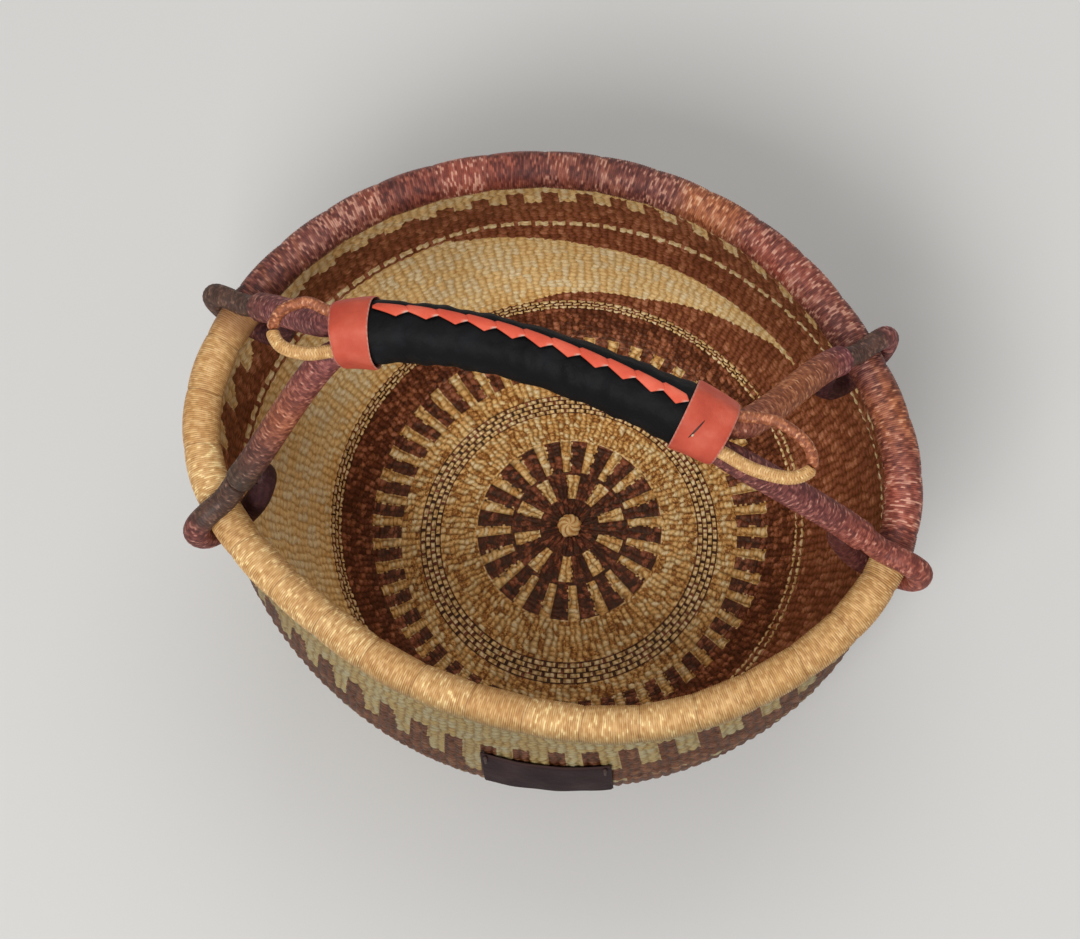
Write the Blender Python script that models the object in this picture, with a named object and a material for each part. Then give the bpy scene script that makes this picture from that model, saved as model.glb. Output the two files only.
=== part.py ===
# Round market basket of twined grass with a leather gripped handle.
#
# Frame: metres, +Z up. The origin is the middle of the flat underside. X runs along the handle,
# and the side that faces -Y carries the leather label patch. The basket is woven outward from a
# knot in the middle of the base, its stakes are gathered into a core round the mouth, grass is
# bound over that core, and four bound handle legs are looped over the rim and back through the wall.

import math

import bmesh
import bpy
import numpy as np

# Bowl
RIM_HEIGHT = 0.210
BASE_RADIUS = 0.118
BELLY_RADIUS = 0.179
BELLY_SHARE = 0.574
WALL_ROUNDNESS = 1.35
WALL_THICKNESS = 0.005
FRONT_SWELL = 0.0068
FRONT_SWELL_DIRECTION = math.radians(265)
OVAL_GROWTH = 1.30
BOWL_SEGMENTS = 64
BASE_RINGS = (0.30, 0.48, 0.64, 0.79, 0.93)
WALL_RINGS = 14
WEAVE_RELIEF = 0.0013

# Mouth: mean radius, the waves that make it the settled, pulled out oval of the real one, and the
# smaller pulls that fade out below the rim, where the legs draw it in and let it bulge between them
RIM_RADIUS = 0.1720
RIM_WAVES = ((2, 0.0193, -0.0086), (3, -0.0022, -0.0018), (4, 0.0027, -0.0024))
RIM_PULLS = ((1, 0.0020, -0.0003), (2, -0.0011, 0.0005), (4, 0.0003, 0.0012), (5, -0.0004, -0.0009),
             (6, 0.0009, -0.0003), (7, -0.0002, -0.0007))
RIM_PULLS_GROWTH = 4
RIM_CORE_RADIUS = 0.0078
RIM_WRAP_RADIUS = 0.0105
RIM_STEP = math.radians(5.5)
RIM_CORE_SIDES = 6
RIM_WRAP_SIDES = 10

# Clearance between pieces that touch
GAP = 0.0003

# Handle grip: a low arch turned a little about the vertical, its middle bowed towards the back
GRIP_MIDDLE = (-0.0021, 0.0074, 0.347)
GRIP_TURN = math.radians(-12.8)
GRIP_ENDS = (-0.0995, 0.1055)
GRIP_BOW = 1.23
GRIP_BOW_SKEW = 3.76
GRIP_DROP = 0.45
GRIP_END_DROP = 42.0
SLEEVE_ENDS = (-0.0865, 0.0885)
SLEEVE_END_RADIUS = 0.0172
SLEEVE_MIDDLE_RADIUS = 0.0154
SLEEVE_THICKNESS = 0.0020
SLEEVE_SIDES = 18
SLEEVE_STATIONS = 13

# Cuffs at the two ends of the sleeve
CUFF_INNER_ENDS = (-0.0805, 0.0825)
CUFF_WIDE_RADIUS = 0.0195
CUFF_NARROW_RADIUS = 0.0179
CUFF_THICKNESS = 0.0013
CUFF_SIDES = 20

# Lacing along the top of the sleeve
LACING_STITCHES = 11
LACING_ANGLE_LEFT = math.radians(30)
LACING_ANGLE_RIGHT = math.radians(12)
LACING_HALF_WIDTH = 0.0034
LACING_THICKNESS = 0.0016
LACING_STEPS_PER_STITCH = 5
LACING_END_GAP = 0.0010

# Handle legs and the loops that hold the rim
LEG_ROOT_RADIUS = 0.0069
LEG_RADIUS = 0.0080
LEG_SWELL_START = 0.22
LEG_SWELL_END = 0.38
LEG_SIDES = 10
LEG_STATIONS = 11
LEG_START_REACH = 0.11
LEG_END_REACH = 0.24
LEG_STRAIGHT = 0.0100
LEG_ARRIVAL_SLOPE = math.radians(45)
LEG_SPREAD = 0.0082
LEG_DROP = 0.0040
LEG_ROOT = 0.0115
LEG_LEAD = 0.0020
LEG_END_SETBACK = 0.0069
LEG_END_HEIGHT = 0.0344
LEG_ROUNDING = (0.0022, 0.0034)
LOOP_NUB_GROWTH = 0.0006
LOOP_SIDES = 8
LOOP_STEPS = 2
LOOP_CLEARANCE = 0.0006
LOOP_HOLE_GROWTH = 0.0006

# name: place on the rim and the way the leg points there, both as angles about the vertical, and the
# radius of the loop
ATTACHMENTS = {
    "left_back": (math.radians(161.0), math.radians(157), 0.0060),
    "left_front": (math.radians(197.2), math.radians(222), 0.0067),
    "right_back": (math.radians(18.9), math.radians(43), 0.0057),
    "right_front": (math.radians(343.5), math.radians(-19), 0.0064),
}

# Eye loops at the ends of the grip
EYE_CORD_DYED_RADIUS = 0.0029
EYE_CORD_NATURAL_RADIUS = 0.0034
EYE_EXIT_SIDE = 0.0104
EYE_EXIT_UP = 0.0066
EYE_LENGTH_LEFT = 0.031
EYE_LENGTH_RIGHT = 0.045
EYE_SHIFT = 0.0020
EYE_RISE = 0.0085
EYE_SIDES = 8

# Start knot and label patch
KNOT_RADIUS = 0.0075
KNOT_HEIGHT = 0.0042
LABEL_DIRECTION = math.radians(273)
LABEL_WIDTH = 0.072
LABEL_LOW = 0.121
LABEL_HIGH = 0.160
LABEL_THICKNESS = 0.0016
LABEL_TOP_DIP = 0.0022
LABEL_COLUMNS = 12
LABEL_ROWS = 5
STITCH_RADIUS = 0.0009
STITCH_LENGTH = 0.0080

# Colours as linear values, with a roughness each
STRAW = (0.72, 0.46, 0.17, 0.62)
WEAVE = (0.60, 0.37, 0.14, 0.66)
DYED = (0.13, 0.032, 0.034, 0.60)
DYED_ORANGE = (0.46, 0.12, 0.032, 0.60)
BLACK_LEATHER = (0.011, 0.012, 0.016, 0.48)
CORAL_LEATHER = (0.72, 0.12, 0.072, 0.50)
BROWN_LEATHER = (0.045, 0.021, 0.020, 0.58)
THREAD = (0.10, 0.045, 0.035, 0.70)


def clear_scene():
    """Removes every object, so that the file holds only the basket."""
    for thing in list(bpy.data.objects):
        bpy.data.objects.remove(thing, do_unlink=True)


def make_material(name, finish):
    """One Principled material: three linear colour values and a roughness."""
    material = bpy.data.materials.new(name)
    material.use_nodes = True
    shader = material.node_tree.nodes["Principled BSDF"]
    shader.inputs["Base Color"].default_value = (*finish[:3], 1.0)
    shader.inputs["Roughness"].default_value = finish[3]
    shader.inputs["Metallic"].default_value = 0.0
    material.diffuse_color = (*finish[:3], 1.0)
    return material


def add_piece(name, points, faces, finish):
    """Makes one named object from points and faces, with its faces turned outward."""
    mesh = bpy.data.meshes.new(name)
    mesh.from_pydata([tuple(p) for p in np.asarray(points).tolist()], [], faces)
    work = bmesh.new()
    work.from_mesh(mesh)
    bmesh.ops.recalc_face_normals(work, faces=work.faces)
    work.to_mesh(mesh)
    work.free()
    mesh.shade_smooth()
    mesh.set_sharp_from_angle(angle=math.radians(40))
    mesh.materials.append(make_material(name, finish))
    piece = bpy.data.objects.new(name, mesh)
    bpy.context.collection.objects.link(piece)
    return piece


def grid_faces(rows, columns, close_rows=False):
    """Quads over a grid whose columns go round, and whose rows may go round too."""
    faces = []
    for row in range(rows if close_rows else rows - 1):
        above = (row + 1) % rows
        for column in range(columns):
            beside = (column + 1) % columns
            faces.append((row * columns + column, row * columns + beside,
                          above * columns + beside, above * columns + column))
    return faces


def closed_ends(rows, columns):
    """Two flat faces that close the first and the last row of such a grid."""
    last = (rows - 1) * columns
    return [tuple(range(columns)), tuple(range(last, last + columns))]


def unit(vectors):
    """Vectors of length one, along the last axis."""
    return vectors / np.linalg.norm(vectors, axis=-1, keepdims=True)


def bezier(controls, count):
    """Points along the cubic curve that four control points draw."""
    t = np.linspace(0.0, 1.0, count)[:, None]
    a, b, c, d = (np.asarray(p, float) for p in controls)
    s = 1.0 - t
    return s**3 * a + 3 * s**2 * t * b + 3 * s * t**2 * c + t**3 * d


def smooth_line(knots, per_span):
    """Points along a smooth curve through the knots, by the Catmull-Rom rule."""
    k = np.asarray(knots, float)
    k = np.vstack([2 * k[0] - k[1], k, 2 * k[-1] - k[-2]])
    t = np.linspace(0.0, 1.0, per_span, endpoint=False)[:, None]
    spans = []
    for i in range(1, len(k) - 2):
        a, b, c, d = k[i - 1:i + 3]
        spans.append(0.5 * (2 * b + (c - a) * t + (2 * a - 5 * b + 4 * c - d) * t**2
                            + (3 * b - a - 3 * c + d) * t**3))
    return np.vstack(spans + [k[-2:-1]])


def path_frames(path, up):
    """Tangent, side and up vectors along a path, each side square to the tangent and the given up."""
    tangent = unit(np.gradient(path, axis=0))
    side = [unit(np.cross(tangent[0], up))]
    for t in tangent[1:]:
        last = side[-1]
        side.append(unit(last - t * (last @ t)))
    side = np.array(side)
    return tangent, side, np.cross(side, tangent)


def ring_points(path, radii, sides, up):
    """Circles of the given radii carried along a path."""
    _, side, lift = path_frames(path, up)
    turn = np.linspace(0.0, 2 * math.pi, sides, endpoint=False)
    across = np.cos(turn)[None, :, None] * side[:, None, :]
    raised = np.sin(turn)[None, :, None] * lift[:, None, :]
    return path[:, None, :] + np.asarray(radii)[:, None, None] * (across + raised)


def add_tube(name, path, radii, sides, finish, up=(0, 0, 1)):
    """A solid cord along a path, with flat ends."""
    rings = ring_points(path, radii, sides, np.asarray(up, float))
    faces = grid_faces(len(path), sides) + closed_ends(len(path), sides)
    return add_piece(name, rings.reshape(-1, 3), faces, finish)


def add_sleeve(name, path, outside, inside, sides, finish, up=(0, 0, 1)):
    """A hollow sleeve along a path: the outer skin forward, then the bore back."""
    up = np.asarray(up, float)
    outer = ring_points(path, outside, sides, up)
    inner = ring_points(path, inside, sides, up)[::-1]
    rings = np.concatenate([outer, inner])
    return add_piece(name, rings.reshape(-1, 3), grid_faces(len(rings), sides, True), finish)


def waves(terms, angle):
    """The sum of a list of waves round the mouth, each its count, its cosine part and its sine part."""
    return sum(c * np.cos(k * angle) + s * np.sin(k * angle) for k, c, s in terms)


def wall_radius(angle, share):
    """Radius of the middle of the wall, share going from 0 at the base to 1 at the rim.

    Below the belly the wall is a quarter of a superellipse from the base to the belly. Above it
    the wall eases to the rim's mean radius. The mouth's waves grow with height, its pulls only near
    the rim, and the front swells most at half height.
    """
    low = (1 - np.clip(1 - share / BELLY_SHARE, 0, 1)**WALL_ROUNDNESS)**(1 / WALL_ROUNDNESS)
    high = np.clip((share - BELLY_SHARE) / (1 - BELLY_SHARE), 0, 1)
    mean = BASE_RADIUS + (BELLY_RADIUS - BASE_RADIUS) * low
    mean = mean + (RIM_RADIUS - BELLY_RADIUS) * high**2 * (2 - high)
    swell = FRONT_SWELL * np.cos(angle - FRONT_SWELL_DIRECTION) * np.sin(math.pi * share)
    oval = waves(RIM_WAVES, angle) * share**OVAL_GROWTH + waves(RIM_PULLS, angle) * share**RIM_PULLS_GROWTH
    return mean + oval + swell


def wall_point(angle, share):
    """A point on the middle of the wall."""
    radius = wall_radius(angle, share)
    base = WALL_THICKNESS / 2
    height = base + share * (RIM_HEIGHT - base)
    return np.stack([radius * np.cos(angle), radius * np.sin(angle), height + 0 * radius], -1)


def wall_normal(angle, share):
    """The wall's outward direction there, from two small steps along it."""
    step = 1e-4
    across = wall_point(angle + step, share) - wall_point(angle - step, share)
    upward = wall_point(angle, share + step) - wall_point(angle, share - step)
    return unit(np.cross(across, upward))


def share_at(height):
    """The wall's share of the way up at a height."""
    base = WALL_THICKNESS / 2
    return (height - base) / (RIM_HEIGHT - base)


def rim_point(angle):
    """A point on the middle of the rim."""
    radius = RIM_RADIUS + waves(RIM_WAVES, angle) + waves(RIM_PULLS, angle)
    return np.stack([radius * np.cos(angle), radius * np.sin(angle), RIM_HEIGHT + 0 * radius], -1)


def rim_outward(angle):
    """The level direction square to the rim there, pointing away from the bowl."""
    step = 1e-4
    along = rim_point(angle + step) - rim_point(angle - step)
    return unit(np.stack([along[..., 1], -along[..., 0], 0 * along[..., 2]], -1))


def pressed_in(ring):
    """How far the weave dips at each point of a ring: at every other one, in turn with the next ring."""
    return WEAVE_RELIEF * ((np.arange(BOWL_SEGMENTS) + ring) % 2)[:, None]


def add_bowl():
    """The woven base and wall: outer skin from the middle up, then inner skin back down.

    Where the outer skin dips between strands the inner one stands out, and the other way round. The
    underside stays flat, and the dips on the base fade out towards its middle.
    """
    half = WALL_THICKNESS / 2
    angle = np.linspace(0, 2 * math.pi, BOWL_SEGMENTS, endpoint=False)
    top = share_at(RIM_HEIGHT - RIM_WRAP_RADIUS - GAP)
    shares = top * np.linspace(0.0, 1.0, WALL_RINGS + 1)[1:]**1.5
    flat = np.stack([BASE_RADIUS * np.cos(angle), BASE_RADIUS * np.sin(angle), 0 * angle], -1)
    outer = [flat * BASE_RINGS[-1]]
    inner = []
    for ring, part in enumerate(BASE_RINGS):
        fade = (part - BASE_RINGS[0]) / (1 - BASE_RINGS[0])
        inner.append(flat * part + (0, 0, WALL_THICKNESS) - pressed_in(ring) * fade * (0, 0, 1))
    for ring, share in enumerate(shares, len(BASE_RINGS)):
        middle = wall_point(angle, share)
        normal = wall_normal(angle, share)
        outer.append(middle + normal * (half - pressed_in(ring + 1)))
        inner.append(middle - normal * (half - pressed_in(ring)))
    for edge in (outer[-1], inner[-1]):
        edge[:, 2] = RIM_HEIGHT - RIM_WRAP_RADIUS - GAP
    rings = np.array(outer + inner[::-1])
    points = np.vstack([rings.reshape(-1, 3), [(0, 0, 0), (0, 0, WALL_THICKNESS)]])
    faces = grid_faces(len(rings), BOWL_SEGMENTS)
    under, over = len(points) - 2, len(points) - 1
    last = (len(rings) - 1) * BOWL_SEGMENTS
    for i in range(BOWL_SEGMENTS):
        j = (i + 1) % BOWL_SEGMENTS
        faces.append((under, j, i))
        faces.append((over, last + i, last + j))
    return add_piece("woven_bowl", points, faces, WEAVE)


def add_start_knot():
    """The low knot that the weaving starts from, on the middle of the base."""
    turn = np.linspace(0, 2 * math.pi, 16, endpoint=False)
    profile = [(1.0, 0.0), (1.0, 0.35), (0.78, 0.80), (0.42, 1.0)]
    rows = []
    for across, up in profile:
        radius = KNOT_RADIUS * across
        z = WALL_THICKNESS + GAP + KNOT_HEIGHT * up
        rows.append(np.stack([radius * np.cos(turn), radius * np.sin(turn), z + 0 * turn], -1))
    faces = grid_faces(len(rows), 16) + closed_ends(len(rows), 16)
    add_piece("start_knot", np.array(rows).reshape(-1, 3), faces, STRAW)


def rim_ring(angles, radius, sides):
    """Circles round the rim's middle at the given angles, upright and square to it."""
    turn = np.linspace(0, 2 * math.pi, sides, endpoint=False)
    outward = rim_outward(angles)[:, None, :] * np.cos(turn)[None, :, None]
    upward = np.array((0.0, 0.0, 1.0)) * np.sin(turn)[None, :, None]
    return rim_point(angles)[:, None, :] + radius * (outward + upward)


def add_rim_core():
    """The gathered stake ends and grass that run all round the mouth."""
    count = round(2 * math.pi / RIM_STEP)
    angles = np.linspace(0, 2 * math.pi, count, endpoint=False)
    rings = rim_ring(angles, RIM_CORE_RADIUS, RIM_CORE_SIDES)
    faces = grid_faces(count, RIM_CORE_SIDES, True)
    add_piece("rim_core", rings.reshape(-1, 3), faces, STRAW)


def add_rim_wrap(name, start, end, finish):
    """Grass bound over the core between two handle legs."""
    trim = GAP / RIM_RADIUS
    count = max(4, round((end - start) / RIM_STEP))
    angles = np.linspace(start + trim, end - trim, count + 1)
    outer = rim_ring(angles, RIM_WRAP_RADIUS, RIM_WRAP_SIDES)
    inner = rim_ring(angles, RIM_CORE_RADIUS + 3 * GAP, RIM_WRAP_SIDES)[::-1]
    rings = np.concatenate([outer, inner])
    faces = grid_faces(len(rings), RIM_WRAP_SIDES, True)
    add_piece(name, rings.reshape(-1, 3), faces, finish)


def grip_point(along):
    """A point on the grip's line, by its distance along the grip's level direction.

    The line drops by the square of that distance and, near its ends, by the fourth power of it.
    Its ends also swing forward of the middle, the right one less than the left one.
    """
    along = np.asarray(along, float)
    swing = -GRIP_BOW * along**2 + GRIP_BOW_SKEW * along**3
    x = GRIP_MIDDLE[0] + along * math.cos(GRIP_TURN) - swing * math.sin(GRIP_TURN)
    y = GRIP_MIDDLE[1] + along * math.sin(GRIP_TURN) + swing * math.cos(GRIP_TURN)
    z = GRIP_MIDDLE[2] - GRIP_DROP * along**2 - GRIP_END_DROP * along**4
    return np.stack([x, y, z], -1)


def sleeve_radius(along):
    """The sleeve is a little thinner in the middle of the grip than at its ends."""
    share = np.clip(np.abs(along) / SLEEVE_ENDS[1], 0, 1)
    return SLEEVE_MIDDLE_RADIUS + (SLEEVE_END_RADIUS - SLEEVE_MIDDLE_RADIUS) * share**2


def add_grip():
    """The grass core of the grip and the leather sleeve drawn over it."""
    along = np.linspace(*SLEEVE_ENDS, SLEEVE_STATIONS)
    path = grip_point(along)
    outside = sleeve_radius(along)
    inside = outside - SLEEVE_THICKNESS
    add_sleeve("leather_sleeve", path, outside, inside, SLEEVE_SIDES, BLACK_LEATHER)
    add_tube("grip_core", path, inside - 2 * GAP, SLEEVE_SIDES - 4, STRAW)


def add_cuff(name, end):
    """A leather collar over an end of the sleeve and the roots of the two legs."""
    along = np.linspace(CUFF_INNER_ENDS[end], GRIP_ENDS[end], 5)
    outside = np.linspace(CUFF_WIDE_RADIUS, CUFF_NARROW_RADIUS, 5)
    add_sleeve(name, grip_point(along), outside, outside - CUFF_THICKNESS, CUFF_SIDES, CORAL_LEATHER)


def add_lacing():
    """One leather thong laced along the sleeve: a flat band whose edges step out leaf by leaf.

    Each stitch leaves the seam narrow, widens to one side and crosses to the other, so the band's
    two edges are the same wave half a stitch apart.
    """
    count = LACING_STITCHES * LACING_STEPS_PER_STITCH + 1
    share = np.linspace(0.0, 1.0, count)
    low, high = CUFF_INNER_ENDS
    along = low + LACING_END_GAP + (high - low - 2 * LACING_END_GAP) * share
    _, side, lift = path_frames(grip_point(along), np.array((0.0, 0.0, 1.0)))
    phase = share * LACING_STITCHES % 1.0
    lower = LACING_HALF_WIDTH * (0.45 + 0.75 * np.sin(math.pi * phase)**0.8)
    upper = LACING_HALF_WIDTH * (0.45 + 0.75 * np.sin(math.pi * ((phase + 0.35) % 1.0))**0.8)
    middle = LACING_ANGLE_LEFT + (LACING_ANGLE_RIGHT - LACING_ANGLE_LEFT) * share
    radius = sleeve_radius(along)
    rings = []
    for out, edge in ((0.0, -1), (0.0, 0), (0.0, 1), (0.6, 1), (1.0, 0), (0.6, -1)):
        raised = radius + 1.5 * GAP + LACING_THICKNESS * out
        reach_over = np.where(edge > 0, upper, lower) * edge / radius
        turn = middle + reach_over
        point = grip_point(along) + raised[:, None] * (
            np.cos(turn)[:, None] * lift - np.sin(turn)[:, None] * side)
        rings.append(point)
    rings = np.stack(rings, axis=1)
    faces = grid_faces(count, rings.shape[1]) + closed_ends(count, rings.shape[1])
    add_piece("leather_lacing", rings.reshape(-1, 3), faces, CORAL_LEATHER)


def cuff_exit(end, across, up, out):
    """A point near a cuff's mouth and the way out there: across and up in its section, out along the grip.

    Inside the cuff, where out is negative, the points follow the arch, and past it they run straight.
    """
    side = 1 if end else -1
    mouth = GRIP_ENDS[end] + side * min(out, 0.0)
    path = grip_point((mouth - side * 0.001, mouth))
    forward = unit(path[1] - path[0])
    back = unit(np.cross((0.0, 0.0, 1.0), forward) * side)
    lift = np.cross(forward, back) * side
    return path[1] + forward * max(out, 0.0) + back * across + lift * up, forward


def attachment(name):
    """Where a leg meets the rim, its level direction there, and half the rim's width along it."""
    place, heading, _ = ATTACHMENTS[name]
    direction = np.array((math.cos(heading), math.sin(heading), 0.0))
    slant = float(direction @ rim_outward(np.array(place)))
    return rim_point(np.array(place)), direction, RIM_WRAP_RADIUS / slant


def leg_end(name):
    """The point just inside the rim where the thick part of a leg starts to round off, and its way there."""
    middle, direction, half = attachment(name)
    arrive = direction * math.cos(LEG_ARRIVAL_SLOPE) - np.array((0, 0, math.sin(LEG_ARRIVAL_SLOPE)))
    return middle - direction * (half + LEG_END_SETBACK) + np.array((0, 0, LEG_END_HEIGHT)), arrive


def leg_path(name):
    """A leg's line: out of the cuff along the grip, then over and down to the rim."""
    grip_end = 0 if name.startswith("left") else 1
    across = LEG_SPREAD if name.endswith("back") else -LEG_SPREAD
    root = [cuff_exit(grip_end, across, -LEG_DROP, -LEG_ROOT * share)[0] for share in (1.0, 0.5, 0.0)]
    start, forward = cuff_exit(grip_end, across, -LEG_DROP, LEG_LEAD)
    end, arrive = leg_end(name)
    turn_in = end - arrive * LEG_STRAIGHT
    span = np.linalg.norm(turn_in - start)
    line = bezier((start, start + forward * span * LEG_START_REACH,
                   turn_in - arrive * span * LEG_END_REACH, turn_in), LEG_STATIONS)
    return np.vstack([root, line, end])


def add_leg(name):
    """A thick bound bundle of grass from the cuff to the rim, with a rounded end."""
    path = leg_path(name)
    share = np.linspace(0, 1, len(path))
    radii = np.interp(share, (LEG_SWELL_START, LEG_SWELL_END), (LEG_ROOT_RADIUS, LEG_RADIUS))
    end, arrive = leg_end(name)
    path = np.vstack([path] + [end + arrive * step for step in LEG_ROUNDING])
    radii = np.append(radii, (LEG_RADIUS * 0.87, LEG_RADIUS * 0.66))
    finish = DYED_ORANGE if name == "right_back" else DYED
    add_tube("handle_leg_" + name, path, radii, LEG_SIDES, finish)


def rim_loop_path(name):
    """A loop's line in an upright plane: off the leg's end, over the rim, down outside it, back through
    the wall and up to the underside of the leg.

    Each knot is a distance outward from the middle of the rim, and a height above it.
    """
    middle, direction, half = attachment(name)
    radius = ATTACHMENTS[name][2]
    reach = half + radius + LOOP_CLEARANCE
    above = RIM_WRAP_RADIUS + radius + LOOP_CLEARANCE
    nub = reach + LOOP_NUB_GROWTH
    slope = np.array((math.cos(LEG_ARRIVAL_SLOPE), -math.sin(LEG_ARRIVAL_SLOPE)))
    square = np.array((-slope[1], slope[0]))
    leg = np.array((-half - LEG_END_SETBACK, LEG_END_HEIGHT))
    start = leg + slope * (LEG_ROUNDING[-1] + GAP)
    finish = leg - slope * 0.0010 - square * (LEG_RADIUS + 5 * GAP)
    knots = [
        start + slope * 0.0025,
        (-0.0045, above + 0.0027),
        (reach * 0.35, above * 0.98),
        (reach * 0.80, above * 0.70),
        (nub, 0.0015),
        (nub * 0.80, -0.0165),
        (0.0030, -0.0245),
        (-reach * 0.62, -0.0235),
        (-half - 0.0095, -0.0150),
        (-half - 0.0155, -0.0010),
        (-half - 0.0190, 0.0130),
        finish - square * 0.0030,
    ]
    line = np.vstack([start, smooth_line(knots, LOOP_STEPS), finish])
    return middle + line[:, :1] * direction + line[:, 1:] * np.array((0.0, 0.0, 1.0))


def rim_loop_radii(name, count):
    """A loop is thickest where it folds at the outside of the rim."""
    share = np.linspace(0, 1, count)
    return ATTACHMENTS[name][2] + LOOP_NUB_GROWTH * np.exp(-((share - 0.38) / 0.09)**2)


def add_rim_loop(name, bowl):
    """The leg's thinner end round the rim, and the hole in the wall that it comes back through."""
    path = rim_loop_path(name)
    radii = rim_loop_radii(name, len(path))
    _, direction, _ = attachment(name)
    sideways = np.array((-direction[1], direction[0], 0.0))
    add_tube("rim_loop_" + name, path, radii, LOOP_SIDES, DYED, sideways)
    through = slice(5 * LOOP_STEPS + 1, 7 * LOOP_STEPS + 3)
    hole = radii[through] + LOOP_HOLE_GROWTH
    cutter = add_tube("cutter_" + name, path[through], hole, LOOP_SIDES, DYED, sideways)
    cutter.hide_render = True
    cutter.display_type = "WIRE"
    cut = bowl.modifiers.new("hole_" + name, "BOOLEAN")
    cut.operation = "DIFFERENCE"
    cut.solver = "EXACT"
    cut.object = cutter


def eye_path(grip_end, length):
    """An eye loop's whole line: out of the cuff, round its tip and back in."""
    w, u, s, r = EYE_EXIT_SIDE, EYE_EXIT_UP, EYE_SHIFT, EYE_RISE
    shape = ((-0.010, w, u), (0.001, w, u + 0.0004), (length * 0.42, w * 1.30 + s, u + r * 0.65),
             (length * 0.83, w * 0.94 + s, u + r), (length, s, u + r),
             (length * 0.83, s - w * 0.94, u + r), (length * 0.42, s - w * 1.35, u + r * 0.65),
             (0.001, -w, u + 0.0004), (-0.010, -w, u))
    return smooth_line([cuff_exit(grip_end, across, up, out)[0] for out, across, up in shape], 3)


def add_eye(side_name, grip_end, length):
    """A hanging eye of thin bound grass: a dyed half at the back and a natural half in front."""
    path = eye_path(grip_end, length)
    middle = len(path) // 2
    step = unit(path[middle + 1] - path[middle - 1]) * GAP
    back = np.vstack([path[:middle], path[middle] - step * 4, path[middle] - step])
    front = np.vstack([path[middle] + step, path[middle] + step * 4, path[middle + 1:]])
    dyed = np.full(len(back), EYE_CORD_DYED_RADIUS)
    natural = np.full(len(front), EYE_CORD_NATURAL_RADIUS)
    add_tube("eye_loop_%s_dyed" % side_name, back, dyed, EYE_SIDES, DYED_ORANGE)
    add_tube("eye_loop_%s_natural" % side_name, front, natural, EYE_SIDES, STRAW)


def label_point(across, height, out):
    """A point on the label: across along the wall's curve, at a height, out from the wall's skin."""
    share = share_at(height)
    angle = LABEL_DIRECTION + across / wall_radius(np.array(LABEL_DIRECTION), share)
    lift = WALL_THICKNESS / 2 + 2 * GAP + out
    return wall_point(angle, share) + wall_normal(angle, share) * lift


def add_label():
    """A bare leather patch that follows the belly, its top edge a little hollow, stitched at both ends."""
    across = np.linspace(-LABEL_WIDTH / 2, LABEL_WIDTH / 2, LABEL_COLUMNS + 1)
    rows = []
    for out in (0.0, LABEL_THICKNESS):
        for row in range(LABEL_ROWS + 1):
            dip = LABEL_TOP_DIP * (1 - (2 * across / LABEL_WIDTH)**2)
            height = LABEL_LOW + (LABEL_HIGH - dip - LABEL_LOW) * row / LABEL_ROWS
            rows.append(label_point(across, height, out))
    points = np.array(rows).reshape(2, LABEL_ROWS + 1, LABEL_COLUMNS + 1, 3)
    faces = []
    width = LABEL_COLUMNS + 1
    layer = width * (LABEL_ROWS + 1)
    for row in range(LABEL_ROWS):
        for column in range(LABEL_COLUMNS):
            a = row * width + column
            quad = (a, a + 1, a + width + 1, a + width)
            faces.append(tuple(reversed(quad)))
            faces.append(tuple(i + layer for i in quad))
    edge = [c for c in range(width)]
    edge += [r * width + width - 1 for r in range(1, LABEL_ROWS + 1)]
    edge += [LABEL_ROWS * width + c for c in range(width - 2, -1, -1)]
    edge += [r * width for r in range(LABEL_ROWS - 1, 0, -1)]
    for a, b in zip(edge, edge[1:] + edge[:1]):
        faces.append((a, b, b + layer, a + layer))
    add_piece("label_patch", points.reshape(-1, 3), faces, BROWN_LEATHER)
    for side_name, side in (("left", -1), ("right", 1)):
        place = side * (LABEL_WIDTH / 2 - 0.0035)
        heights = LABEL_HIGH - 0.0030 + STITCH_LENGTH * np.linspace(-0.5, 0.5, 6)
        raised = LABEL_THICKNESS + STITCH_RADIUS + GAP
        path = np.array([label_point(np.array(place), h, raised) for h in heights])
        radii = STITCH_RADIUS * np.array((0.6, 1, 1, 1, 1, 0.6))
        add_tube("label_stitch_" + side_name, path, radii, 8, THREAD, (1, 0, 0))


clear_scene()
bowl_piece = add_bowl()
add_start_knot()
add_rim_core()
rim_joints = {name: place for name, (place, _, _) in ATTACHMENTS.items()}
full_turn = 2 * math.pi
add_rim_wrap("rim_wrap_back", rim_joints["right_back"], rim_joints["left_back"], DYED)
add_rim_wrap("rim_wrap_left", rim_joints["left_back"], rim_joints["left_front"], STRAW)
add_rim_wrap("rim_wrap_front", rim_joints["left_front"], rim_joints["right_front"], STRAW)
add_rim_wrap("rim_wrap_right", rim_joints["right_front"], rim_joints["right_back"] + full_turn, DYED)
add_grip()
add_cuff("cuff_left", 0)
add_cuff("cuff_right", 1)
add_lacing()
for attachment_name in ATTACHMENTS:
    add_leg(attachment_name)
    add_rim_loop(attachment_name, bowl_piece)
add_eye("left", 0, EYE_LENGTH_LEFT)
add_eye("right", 1, EYE_LENGTH_RIGHT)
add_label()
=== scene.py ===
# Round market basket of twined grass with a leather gripped handle.
#
# The file follows the basket as it is made: the woven base and wall, the start knot, the bound rim,
# the gripped handle, its legs and loops, and the leather patch. Lengths are metres, +Z is up, X runs
# along the handle, and the patch is on the side that faces -Y.

import math

import bpy
import numpy as np
from mathutils import Matrix


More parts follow.
